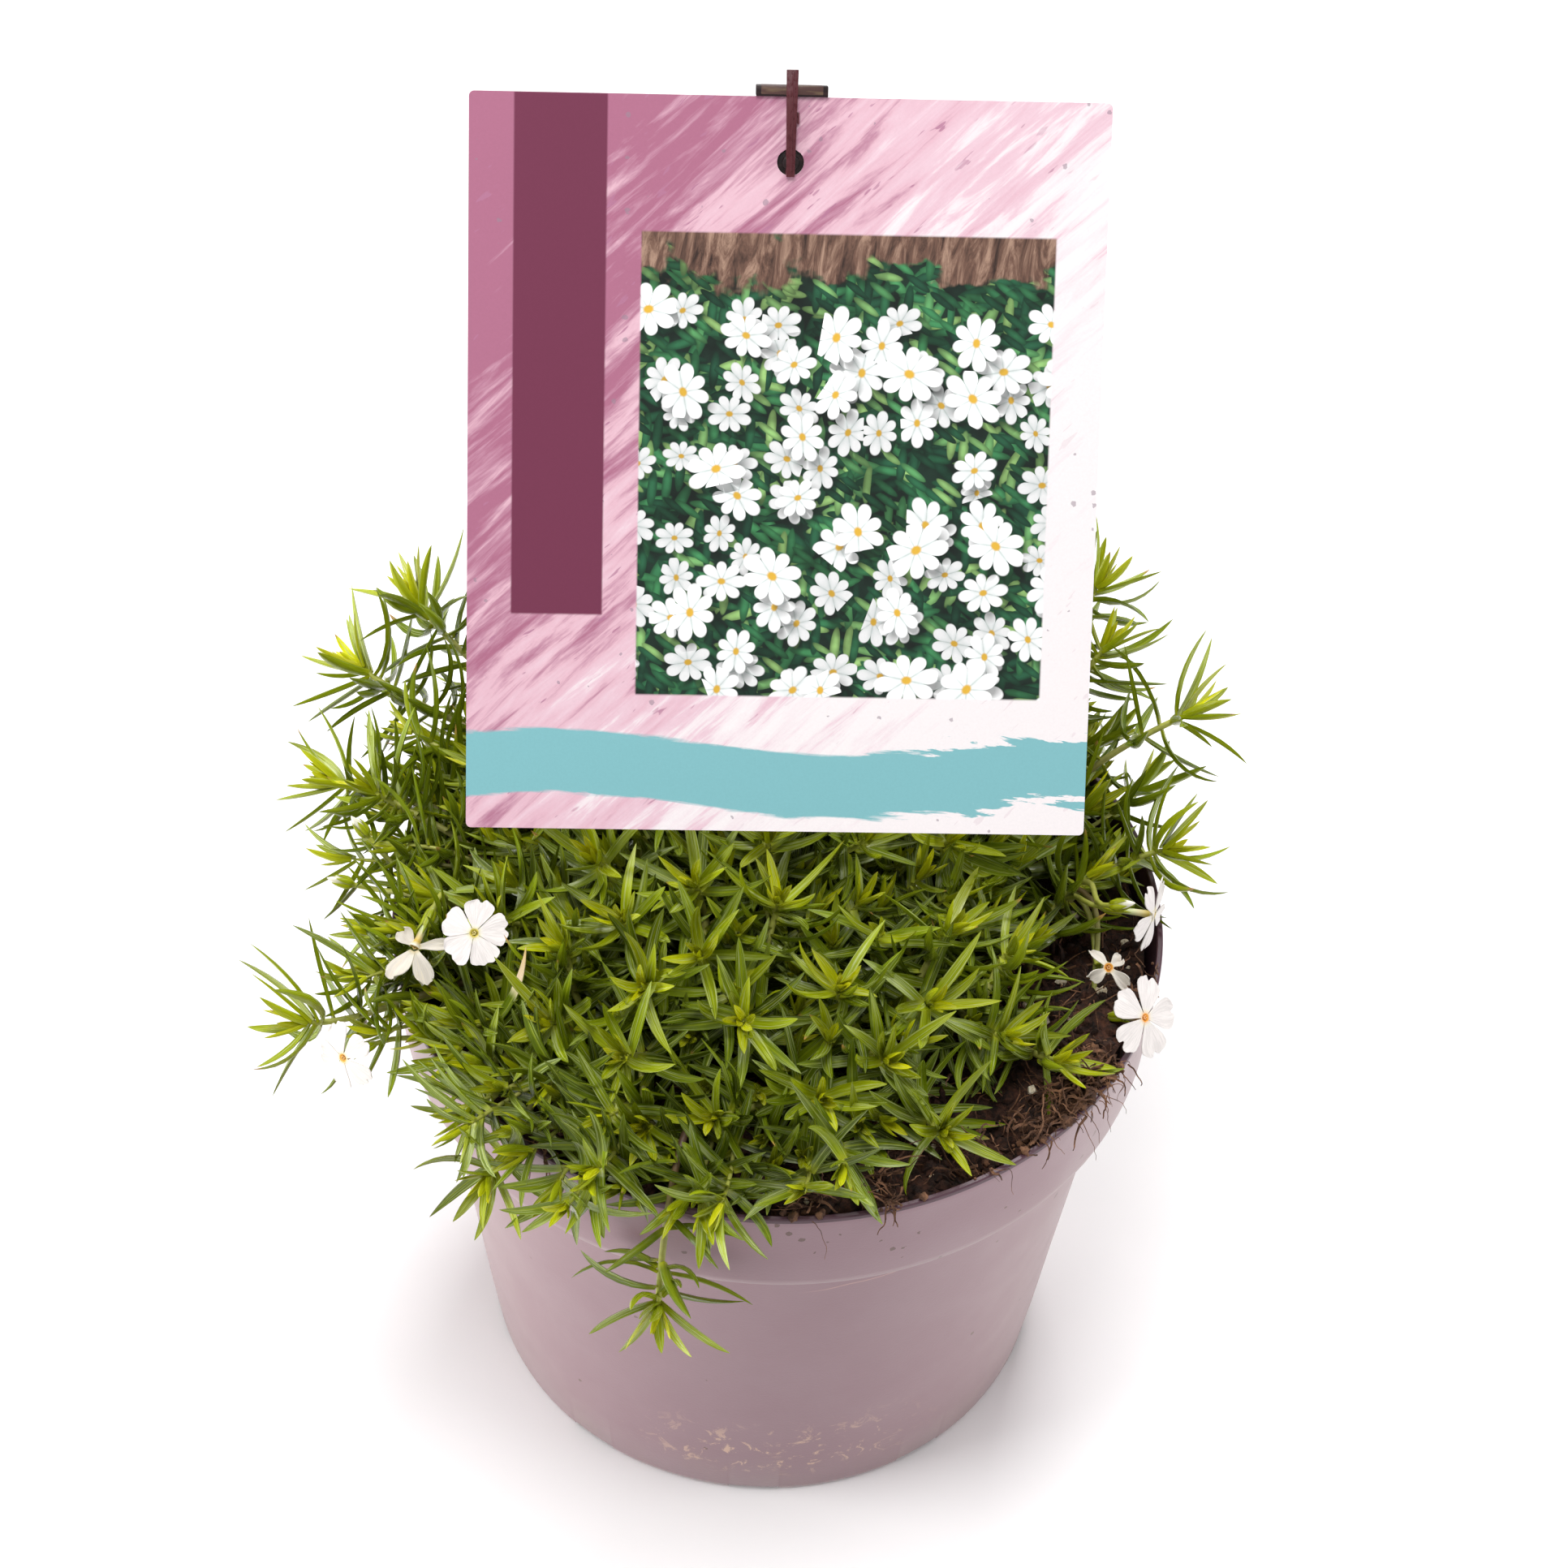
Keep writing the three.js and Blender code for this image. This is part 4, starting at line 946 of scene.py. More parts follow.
def undergrowthStems():
    made, places = [], [tip["at"][:2] for shoot in shoots for tip in shoot["tips"]]
    for i, fromMiddle in enumerate(sunflower(undergrowth["candidates"], plant["matReach"] - 3, 1)):
        x, y = plant["matMiddle"] + fromMiddle
        near = min(math.hypot(x - px, y - py) for px, py in places)
        if near > undergrowth["spacing"] and not (isBare(x, y) and math.hypot(x, y) > 66 and x > 16):
            draw, top = seededDraws(3000 + i), onMat(x, y)
            height = top["at"][2] - draw(*undergrowth["drops"])
            end = (x, y, max(height, soilHeight(x, y) + undergrowth["overSoil"] + draw(0, 4)))
            root = plant["matMiddle"] + fromMiddle * undergrowth["rootSpread"] + [draw(-3, 3), draw(-3, 3)]
            way = np.array(top["way"]) + [draw(-0.5, 0.5), draw(-0.5, 0.5), 0.2]
            stem = growLowStem(end, way, *root, draw, undergrowth["room"])
            places += [(x, y)] * len(stem)
            made += stem
    # others lean over the rim, all round but for the bare stretch
    for band, (first, last, count, outs, heights) in enumerate(undergrowth["overRim"]):
        for i in range(count):
            draw = seededDraws(4000 + 100 * band + i)
            angle = math.radians(mix(first, last, i / count) + draw(-3, 3))
            out, height = draw(*outs), draw(*heights)
            x, y = math.cos(angle), math.sin(angle)
            way = (x + draw(-0.4, 0.4), y + draw(-0.4, 0.4), draw(0.1, 0.7))
            made += growLowStem((x * out, y * out, height), way, x * draw(66, 74), y * draw(66, 74), draw,
                                undergrowth["rimRoom"])
    return made


leafyStems = [stem for stem in stems if "tip" in stem]
lowStems = undergrowthStems()
for pair in smallLeaves["pairs"]:
    for stem in leafyStems + lowStems:
        growSmallPair(stem, pair)
lowStems = [stem for stem in lowStems if len(stem["leaves"]) >= undergrowth["fewestLeaves"]]
grownSprigs = []
for down in sprigs["downs"]:
    for stem in leafyStems:
        if down < stem["curve"].length - 10 and stem["tip"].get("leafLength", 0) < sprigs["leavesUnder"]:
            for side in range(4):
                if stem["draw"](0, 1) < sprigs["share"]:
                    grownSprigs += growSprig(stem, down, side, seededDraws(1000 + len(grownSprigs)))
for pair in sprigs["pairs"]:
    for sprig in grownSprigs:
        growSmallPair(sprig, pair)
grownSprigs = [sprig for sprig in grownSprigs if len(sprig["leaves"]) > 1]
allStems = stems + lowStems + grownSprigs


# one leaf beside the left flower is dead
def awayFromDeadLeaf(leaf):
    foot, end = leafArc(leaf, [0, 1])[0]
    return np.linalg.norm(foot - plant["deadLeafFoot"]) + np.linalg.norm(end - plant["deadLeafEnd"])


deadLeaf = min((leaf for stem in allStems for leaf in stem["leaves"]), key=awayFromDeadLeaf)
print("low stems:", len(lowStems), "sprigs:", len(grownSprigs))


# ---- shader groups and materials ----

# an sRGB hex colour as Blender's linear one
def tint(hexColor):
    parts = [int(hexColor[i:i + 2], 16) / 255 for i in (1, 3, 5)]
    return tuple(c / 12.92 if c < 0.04045 else ((c + 0.055) / 1.055) ** 2.4 for c in parts) + (1,)


# a mix of two colours, which are hex strings or values
def blend(share, low, high, way="MIX"):
    giver = share if isinstance(share, Value) else high
    low, high = (tint(c) if isinstance(c, str) else c for c in (low, high))
    return giver.node("Mix", 2, {0: share, 6: low, 7: high}, data_type="RGBA", blend_type=way)


def toned(color, tone):
    giver = tone if isinstance(tone, Value) else color
    grey = giver.node("CombineColor", "Color", {"Red": tone, "Green": tone, "Blue": tone})
    return blend(1.0, color, grey, "MULTIPLY")


# a material under construction
class Look:
    def __init__(self, name, **values):
        self.material = bpy.data.materials.new(name)
        self.material.use_nodes = True
        self.tree = self.material.node_tree
        for label, value in values.items():
            self.socket(label).default_value = value

    def socket(self, label):
        return self.tree.nodes["Principled BSDF"].inputs[label.replace("_", " ")]

    def attributes(self, *names):
        return [Value(addNode(self.tree, "ShaderNodeAttribute", attribute_name=name)["Fac"]) for name in names]

    def place(self, stretch=(1, 1, 1)):
        return Value(addNode(self.tree, "ShaderNodeTexCoord")["Object"]).mapped(Scale=stretch)

    # across, along and per-leaf tone as one vector, for markings that run along a blade
    def bladePlace(self, acrossScale, alongScale):
        across, along, tone = self.attributes("across", "along", "tone")
        return across.node("CombineXYZ", 0, {0: across * acrossScale, 1: along * alongScale, 2: tone * 40.0})

    def made(self, **sources):
        for label, source in sources.items():
            self.tree.links.new(source.socket, self.socket(label))
        return self.material


# small specks in random places: a mask that is one inside a speck
def speckleGroup():
    tree, given = newTree("speckles", "Shader", {"Vector": "Vector", "Scale": 300.0, "Size": 0.2, "Share": 0.2},
                          {"Mask": "Float"})
    wavy = addNode(tree, "ShaderNodeTexNoise", {"Vector": given["Vector"], "Scale": 900.0})["Color"]
    bent = addNode(tree, "ShaderNodeVectorMath", {0: wavy, 1: (0.0012, 0.0012, 0.0012), 2: given["Vector"]},
                   operation="MULTIPLY_ADD")[0]
    cells = addNode(tree, "ShaderNodeTexVoronoi", {"Vector": bent, "Scale": given["Scale"]})
    red, green, _ = Value(cells["Color"]).parts("Color")
    inside = Value(cells["Distance"]) < green * given["Size"]
    addNode(tree, "NodeGroupOutput", {"Mask": inside * (red < given["Share"])})
    return tree


# uneven tone: a value round one that a colour is multiplied by
def mottleGroup():
    tree, given = newTree("mottle", "Shader", {"Vector": "Vector", "Scale": 40.0, "Amount": 0.1},
                          {"Value": "Float"})
    cloud = Value(addNode(tree, "ShaderNodeTexNoise",
                          {"Vector": given["Vector"], "Scale": given["Scale"], "Detail": 4.0})["Fac"])
    addNode(tree, "NodeGroupOutput", {"Value": (cloud - 0.5) * given["Amount"] * 2.0 + 1.0})
    return tree


speckles = speckleGroup()
mottle = mottleGroup()


def placed(group, place, **values):
    outputs = addNode(place.tree, "ShaderNodeGroup", {"Vector": place, **values}, node_tree=group)
    return [Value(socket) for socket in outputs]


def mottled(color, place, scale, amount):
    return toned(color, placed(mottle, place, Scale=scale, Amount=amount)[0])


def speckled(color, place, scale, size, share, speckColor):
    return blend(placed(speckles, place, Scale=scale, Size=size, Share=share)[0], color, speckColor)


def leafMaterial():
    look = Look("leafGreen", Specular_IOR_Level=0.32, Coat_Weight=0.24, Coat_Roughness=0.13)
    age, along, across, tone, under = look.attributes("age", "along", "across", "tone", "under")
    green = age.ramp((0, "#cdca0a"), (0.12, "#b1b40a"), (0.3, "#8f9a0a"), (0.45, "#72820a"), (0.7, "#596a0b"),
                     (1, "#44530c"))
    streaks = look.bladePlace(3.5, 2.0).noise(1.6, 4.0)
    green = toned(green, tone.ranged(0, 1, 0.84, 1.34, "LINEAR"))
    green = toned(green, streaks.ranged(0.3, 0.7, 0.86, 1.12))
    middle = across.math("ABSOLUTE").ranged(0.02, 0.26, 0.5, 0)
    green = blend(middle * (under * -1.0 + 1.0), green, "#a6b422")
    green = blend(under * 0.4, green, "#8a961a")
    # painted highlight: pale gleaming lines along the upper side, standing in for the leaves' gloss
    lines = look.bladePlace(5.0, 0.9).noise(1.3, 1.0)
    green = blend(lines.ranged(0.54, 0.64) * under.ranged(0.0, 0.5, 0.5, 0.0), green, "#ccd694")
    green = blend(along.ranged(0, 0.16, 0.55, 0), green, "#b6ba26")
    # a few leaves have dry tips, and the dead one is pale for most of its length
    green = blend(tone.ranged(0.96, 0.97) * along.ranged(0.86, 0.97), green, "#b98f4e")
    dead = along.ramp((0.4, "#e8e2a8"), (0.6, "#f0d9bd"), (1, "#d9b878"))
    green = blend(tone.ranged(1.5, 1.6) * along.ranged(0.36, 0.5), green, dead)
    fine = look.bladePlace(9.0, 1.5).noise(2.0, 2.0)
    return look.made(Base_Color=green, Normal=fine.bumped(0.35, 0.0002),
                     Roughness=streaks.ranged(0.3, 0.7, 0.17, 0.32))


def stemMaterial():
    look = Look("stemGreen", Roughness=0.5)
    age, whiteShare = look.attributes("age", "tint")
    place = look.place()
    bark = age.ramp((0, "#adb23e"), (0.3, "#a0a24a"), (0.6, "#878444"), (0.85, "#6d5636"), (1, "#4a3525"))
    bark = blend(whiteShare, mottled(bark, place, 700.0, 0.35), "#f1ecdf")
    return look.made(Base_Color=bark, Normal=place.noise(2600.0, 2.0).bumped(0.5, 0.0002))


def petalMaterial():
    look = Look("petalWhite", Roughness=0.55, Sheen_Weight=0.15)
    along, wilt, eye, tube, warmth = look.attributes("along", "wilt", "eye", "tube", "warmth")
    veins = look.bladePlace(6.0, 1.2).noise(1.7, 3.0)
    white = blend(wilt, "#dfd8d5", "#dfd6c4")
    white = toned(white, veins.ranged(0.35, 0.65).ranged(0, 1, 0.88, 1.0))
    white = blend(wilt * veins.ranged(0.52, 0.7, 0.0, 0.6), white, "#d8c9a2")
    white = blend(along.ranged(0.0, 0.22, 0.4, 0.0), white, "#e9e6c6")
    white = blend(tube, white, "#cfd6a0")
    white = blend(eye, white, blend(warmth, "#b9b44a", "#e39a2c"))
    return look.made(Base_Color=white, Normal=veins.bumped(0.4, 0.0004))


potMarks = {  # where the marks on the pot's wall begin and end, in metres
    "specksRise": (0.112, 0.138),
    "specksFront": (-0.03, 0.02),
    "splashRise": (0.006, 0.016),
    "splashFall": (0.022, 0.042),
    "splashMiddle": 0.006,
    "splashReach": (0.014, 0.045),
    "scratchHeight": (0.1009, 0.1013),
    "scratchSlope": 0.19,
    "scratchWobble": 0.003,
    "scratchSpan": (0.013, 0.039),
    "dustTop": 0.03,
}


def potMaterial():
    look = Look("potMauve", Sheen_Weight=0.18, Sheen_Roughness=0.4)
    place = look.place()
    x, y, z = place.parts()
    mauve = mottled(mottled("#886972", place, 9.0, 0.05), place, 160.0, 0.02)
    # peat specks, thickest just under the rim at the front
    nearRim = z.ranged(*potMarks["specksRise"], 0.02, 0.2) * y.ranged(*potMarks["specksFront"], 1.0, 0.3)
    mauve = speckled(mauve, place, 330.0, 0.3, nearRim, "#5c3f3a")
    # dried splashes low on the wall
    isFront = y < 0.0
    low = z.ranged(*potMarks["splashRise"]) * z.ranged(*potMarks["splashFall"], 1, 0)
    near = (x - potMarks["splashMiddle"]).math("ABSOLUTE").ranged(*potMarks["splashReach"], 1, 0)
    ragged = place.noise(190.0, 5.0, 0.7, 1.2).ranged(0.56, 0.63)
    mauve = blend(low * near * (ragged * isFront) * 0.8, mauve, "#cfab90")
    # a long faint scratch under the collar
    wobble = place.noise(60.0, 1.0) * potMarks["scratchWobble"]
    level = z - (x * potMarks["scratchSlope"] + wobble)
    scratch = level.within(*potMarks["scratchHeight"], 0.0001) * x.within(*potMarks["scratchSpan"], 0.004)
    mauve = blend(scratch * (isFront * 0.5), mauve, "#c79f90")
    dusty = z.ranged(0.0, potMarks["dustTop"], 0.22, 0.0) * place.noise(60.0).ranged(0.4, 0.7)
    mauve = blend(dusty, mauve, "#8d7468")
    # painted sheen: paler where the wall is seen aslant, standing in for the bright room reflected at grazing
    # angles
    aslantSheen = Value(addNode(look.tree, "ShaderNodeLayerWeight", {"Blend": 0.5})["Facing"])
    mauve = blend(aslantSheen.ranged(0.4, 1.0, 0.0, 0.32), mauve, "#b3a29c")
    # fine scuffs that run round the wall
    height = look.place((40, 40, 900)).noise(1.0, 2.0) * 0.35 + place.noise(1500.0, 2.0)
    return look.made(Base_Color=mauve, Normal=height.bumped(0.12, 0.0003),
                     Roughness=place.noise(35.0).ranged(0.3, 0.7, 0.38, 0.5))


def potInsideMaterial():
    look = Look("potInsidePlum", Roughness=0.4)
    place = look.place()
    plum = speckled(mottled("#4e323d", place, 30.0, 0.2), place, 380.0, 0.35, 0.25, "#3a2219")
    return look.made(Base_Color=plum, Normal=place.noise(1500.0, 2.0).bumped(0.12, 0.0003))


def peatMaterial(name, dark, light, scale):
    look = Look(name, Roughness=0.95)
    place = look.place()
    brown = blend(place.noise(scale, 6.0, 0.7).ranged(0.35, 0.72), dark, light)
    return look.made(Base_Color=mottled(brown, place, scale * 0.2, 0.5),
                     Normal=place.noise(scale * 3, 4.0, 0.7).bumped(0.8, 0.001))


def perliteMaterial():
    look = Look("perlite", Roughness=0.85)
    place = look.place()
    cream = blend(place.noise(900.0, 4.0).ranged(0.35, 0.65), "#efe4cd", "#c9b391")
    return look.made(Base_Color=cream, Normal=place.noise(2500.0).bumped(0.7, 0.0006))


def stakeMaterial():
    look = Look("stakePlum", Roughness=0.3)
    drawn = look.place((1400, 1400, 60)).noise(1.0, 2.0)
    brown = toned(mottled("#4d1f25", look.place(), 120.0, 0.12), drawn.ranged(0.3, 0.7, 0.9, 1.12))
    return look.made(Base_Color=brown, Normal=drawn.bumped(0.2, 0.0003),
                     Roughness=drawn.ranged(0.3, 0.7, 0.24, 0.4))


def barMaterial(name, ground, wornTone):
    look = Look(name, Roughness=0.35)
    place = look.place()
    worn = look.place((120, 900, 900)).noise(1.0, 3.0).ranged(0.5, 0.7, 0, 0.5)
    return look.made(Base_Color=blend(worn, mottled(ground, place, 260.0, 0.2), wornTone),
                     Normal=place.noise(1800.0).bumped(0.15, 0.0002))


def floorMaterial():
    look = Look("paleFloor", Roughness=0.8)
    place = look.place()
    return look.made(Base_Color=mottled("#fefdfd", place, 3.0, 0.006),
                     Normal=place.noise(500.0).bumped(0.03, 0.0003))


leafGreen, stemGreen, petalWhite = leafMaterial(), stemMaterial(), petalMaterial()
peatDark = peatMaterial("peat", "#1f120c", "#573424", 420.0)
fibreBrown = peatMaterial("peatFibre", "#422a1e", "#94694b", 260.0)
print("materials made")


# ---- the shoots as pieces ----

leafShares = np.array([0, 0.1, 0.25, 0.42, 0.58, 0.72, 0.85, 0.94, 1])
leafOutline = np.array([0.8, 0.92, 1, 1, 0.93, 0.79, 0.54, 0.29, 0.05])
calyx = {"length": 7.6, "radius": 1.25, "lobeWidth": 1.15, "lobes": 5, "flare": 0.35}
bud = {"length": 7, "radius": 1.4, "lobes": 5}


def lineOf(points, sideways, halfWidth, age, tone, isLeaf, whiteShare=0):
    line = {"points": points, "sideways": sideways, "halfWidth": halfWidth, "along": np.linspace(0, 1, len(points))}
    for label, value in (("age", age), ("tone", tone), ("isLeaf", isLeaf), ("tint", whiteShare)):
        line[label] = np.broadcast_to(value, len(points))
    return line


def leafLine(leaf, draw):
    picked = slice(None) if leaf["length"] > 12 else [0, 2, 3, 5, 6, 8]  # a short leaf has fewer rings
    shares, outline = leafShares[picked], leafOutline[picked]
    points, heading, face = leafArc(leaf, shares)
    side = np.cross(face, heading)
    bend, twist = draw(-0.22, 0.22) * leaf["length"], math.radians(draw(-30, 30)) * shares
    points = points + side * (bend * shares ** 2)[:, None]
    side = side * np.cos(twist)[:, None] + face * np.sin(twist)[:, None]
    age = float(np.clip(leaf["age"] + draw(-0.1, 0.1), 0, 1))
    tone = draw(0, 1) + (2 if leaf is deadLeaf else 0)
    line = lineOf(points, side, leaf["width"] / 2 * outline, age, tone, True)
    line["along"] = shares
    return line


def stemLine(stem, draw):
    curve, share = stem["curve"], stem["thickness"]
    downs = np.linspace(0, curve.length, max(5, math.ceil(curve.length / 2.5)))
    frames = framesDown(curve, stem["sideways"], downs)
    points = curve.at(curve.down(downs))
    radii = 0.76 * share * mix(plant["tipRadius"], plant["stemRadius"], downs / curve.length)
    if "endsIn" not in stem:
        radii[0] *= 0.2
        radii[1] *= 0.75
    ages = np.clip(0.1 + downs / 50, 0, 1)
    sideways = np.array([side for along, side, front in frames])
    if stem.get("isMain"):
        points = np.vstack([points, points[-1] - [0, 0, 9]])
        radii, ages = np.append(radii, radii[-1]), np.append(ages, 1)
        sideways = np.vstack([sideways, sideways[-1]])
    return lineOf(points, sideways, radii, ages, draw(0, 1), False)


# narrow lobes round a cup or a bud, from its foot up its side, their ends leaning out
def lobeLines(foot, along, side, length, radius, flare, count, width, draw):
    front = np.cross(along, side)
    shares = np.linspace(0, 1, 7)
    reach = radius * np.array([0.45, 0.92, 1.02, 1.0, 0.98, 1 + 0.4 * flare, 1 + flare])
    lines = []
    for i in range(count):
        angle = 2 * math.pi * i / count + draw(-0.1, 0.1)
        out = side * math.cos(angle) + front * math.sin(angle)
        across = np.cross(along, out)
        points = foot + along * (length * shares * draw(0.9, 1.06))[:, None] + out * reach[:, None]
        halfWidth = width / 2 * np.array([0.6, 0.95, 1.1, 1, 0.8, 0.45, 0.06])
        lines.append(lineOf(points, np.tile(across, (7, 1)), halfWidth, 0.2 + draw(0, 0.12), draw(0.2, 0.9), True))
    return lines


def stalkEndLines(stem, draw):
    curve = stem["curve"]
    along = curve.heading(1.0)
    side = framesDown(curve, stem["sideways"], [0])[0][1]
    foot = curve.at(1.0)
    if stem["endsIn"] == "flower":
        heights = np.array([-0.6, 0.2, 1.2, 3, 4.6, 5.2])
        radii = calyx["radius"] * np.array([0.5, 0.75, 0.95, 1, 0.95, 0.7])
        whiteShare = 0
        lobes = lobeLines(foot, along, side, calyx["length"], calyx["radius"], calyx["flare"],
                          calyx["lobes"], calyx["lobeWidth"], draw)
    else:
        heights = np.array([-0.6, 0.4, 1.6, 3, 4.6, 6, 7])
        radii = bud["radius"] * np.array([0.45, 0.75, 0.95, 0.95, 0.72, 0.42, 0.12])
        whiteShare = np.clip((heights - 3.4) / 1.6, 0, 1)
        lobes = lobeLines(foot, along, side, 5.6, bud["radius"] * 0.97, -0.25, bud["lobes"], 1.5, draw)
    points = foot + along * heights[:, None]
    core = lineOf(points, np.tile(side, (len(heights), 1)), radii, 0.15, draw(0, 1), False, whiteShare)
    return [core] + lobes


def foliagePiece(name, ownStems, nodes=()):
    lines = []
    for stem in ownStems:
        draw = stem["draw"]
        lines.append(stemLine(stem, draw))
        lines += [leafLine(leaf, draw) for leaf in stem["leaves"]]
        if "endsIn" in stem:
            lines += stalkEndLines(stem, draw)
    piece = lineObject(name, lines)
    shapedBy(piece, growing, Leaf_Section=leafSection, Stem_Section=stemSection, Leaf_Finish=leafGreen,
             Stem_Finish=stemGreen, Sharp_Angle=math.radians(70))
    finishPiece(piece, nodes)


for shoot in shoots:
    name = shoot["name"]
    foliagePiece(name.replace("shoot", "foliage"), [s for s in allStems if s["shoot"] is shoot], [name])
for zone, isThere in (("frontLeft", (False, False)), ("frontRight", (True, False)), ("backLeft", (False, True)),
                      ("backRight", (True, True))):
    foliagePiece(f"undergrowth_{zone}", [s for s in lowStems if all((s["curve"].corners[3][:2] >= 0) == isThere)])
print("shoots made:", len(shoots))


# ---- closed meshes from rings and grids ----

# parts are (points, faces, material index, attributes); their shells are closed and turned outwards
def closedPiece(name, parts, materials, sharpAngle=40):
    points, faces, indices, attributes = [], [], [], {}
    for partPoints, partFaces, index, labels in parts:
        start = len(points)
        points += list(partPoints)
        faces += [[start + corner for corner in face] for face in partFaces]
        indices += [index] * len(partFaces) if np.isscalar(index) else list(index)
        for label, values in labels.items():
            attributes.setdefault(label, []).append(values)
    piece = meshObject(name, points, faces=faces)
    for label, values in attributes.items():
        setAttribute(piece.data, label, np.concatenate(values))
    piece.data.polygons.foreach_set("material_index", indices)
    for material in materials:
        piece.data.materials.append(material)
    shell = bmesh.new()
    shell.from_mesh(piece.data)
    bmesh.ops.recalc_face_normals(shell, faces=shell.faces)
    shell.to_mesh(piece.data)
    shell.free()
    piece.data.shade_smooth()
    piece.data.set_sharp_from_angle(angle=math.radians(sharpAngle))
    return piece


# rings round +Z from (radius, height) pairs; a radius of zero is a single pole
def lathe(profile, angles):
    count, points, rings = len(angles), [], []
    for radius, height in profile:
        if radius == 0:
            rings.append([len(points)] * count)
            points.append((0, 0, height))
        else:
            rings.append(list(range(len(points), len(points) + count)))
            points += [(radius * math.cos(a), radius * math.sin(a), height) for a in angles]
    faces = []
    for lower, upper in zip(rings, rings[1:]):
        for i in range(count):
            j = (i + 1) % count
            faces.append(list(dict.fromkeys([lower[i], lower[j], upper[j], upper[i]])))
    return np.array(points, float), faces


# a sheet of rows and columns given a thickness below it, closed all round
def thickSheet(grid, thickness):
    rows, columns = grid.shape[:2]
    normal = unitRows(np.cross(np.gradient(grid, axis=0), np.gradient(grid, axis=1)), 1e-9)
    points = np.concatenate([grid.reshape(-1, 3), (grid - normal * thickness).reshape(-1, 3)])
    below = rows * columns
    faces = []
    for r in range(rows - 1):
        for c in range(columns - 1):
            a, b = r * columns + c, (r + 1) * columns + c
            faces += [[a, a + 1, b + 1, b], [below + a, below + b, below + b + 1, below + a + 1]]
    edge = ([(0, c) for c in range(columns)] + [(r, columns - 1) for r in range(1, rows)]
            + [(rows - 1, c) for c in range(columns - 2, -1, -1)] + [(r, 0) for r in range(rows - 2, 0, -1)])
    loop = [r * columns + c for r, c in edge]
    faces += [[a, b, below + b, below + a] for a, b in zip(loop, loop[1:] + loop[:1])]
    return points, faces


# ---- the flowers ----

corolla = {
    "thickness": 0.22,
    "throat": 0.95,
    "rows": 11,
    "columns": 13,
    "anthers": 5,
    # a petal's outline: shares of its length, its foot's half width, and the others as shares of its widest
    "shares": (0, 0.15, 0.35, 0.6, 0.8, 0.92, 1),
    "footWidth": 0.62,
    "widths": (0.36, 0.62, 0.9, 1, 0.94, 0.74),
}


def petalGrid(flower, length, width, crumple, draw):
    half, start = width / 2, corolla["throat"]
    v = np.linspace(0, 1, corolla["rows"])[:, None]
    u = np.linspace(-1, 1, corolla["columns"])[None]
    notch = flower["notch"] * draw(0.3, 1.2) * np.exp(-((u - draw(-0.15, 0.15)) / 0.2) ** 2)
    end = length - notch - 0.09 * length * np.abs(u) ** 3
    end = end + draw(-0.35, 0.35) * u + 0.16 * np.sin(draw(0, 6.3) + 8 * u)
    out = start + (end - start) * v ** 0.95
    outline = np.interp(v, corolla["shares"], [corolla["footWidth"] / half, *corolla["widths"]])
    across = u * half * outline * draw(0.94, 1.05)
    height = -flower["curl"] * out * out / length
    height = height - 0.22 * (1 - u * u) * v * (1 - 0.4 * v) + draw(0.12, 0.2) * u * half * 0.5 * v
    wave = np.sin(draw(0, 6.3) + 5 * u) * v ** 2 + 0.7 * np.sin(draw(0, 6.3) + 9 * u) * v ** 3
    height = height + 0.22 * crumple * wave
    if crumple > 0.9:
        across = across * (1 - 0.3 * v * crumple / 1.7)
        height = height + crumple * 0.5 * np.abs(u) * v * half * draw(0.3, 0.9) - draw(0.2, 1.4) * v ** 2
    return np.stack([out, across, height], axis=2), v, u


# a limp petal: rolled about its length and folded back
def wiltedPetal(grid, v, wilt, draw):
    out, across, height = np.moveaxis(grid, 2, 0)
    roll, fold = math.radians(draw(-45, 45)) * v, math.radians(draw(-30, 22)) * wilt * v ** 0.5
    across, height = (across * np.cos(roll) - height * np.sin(roll), across * np.sin(roll) + height * np.cos(roll))
    return np.stack([out * np.cos(fold) + height * np.sin(fold), across,
                     height * np.cos(fold) - out * np.sin(fold)], axis=2)


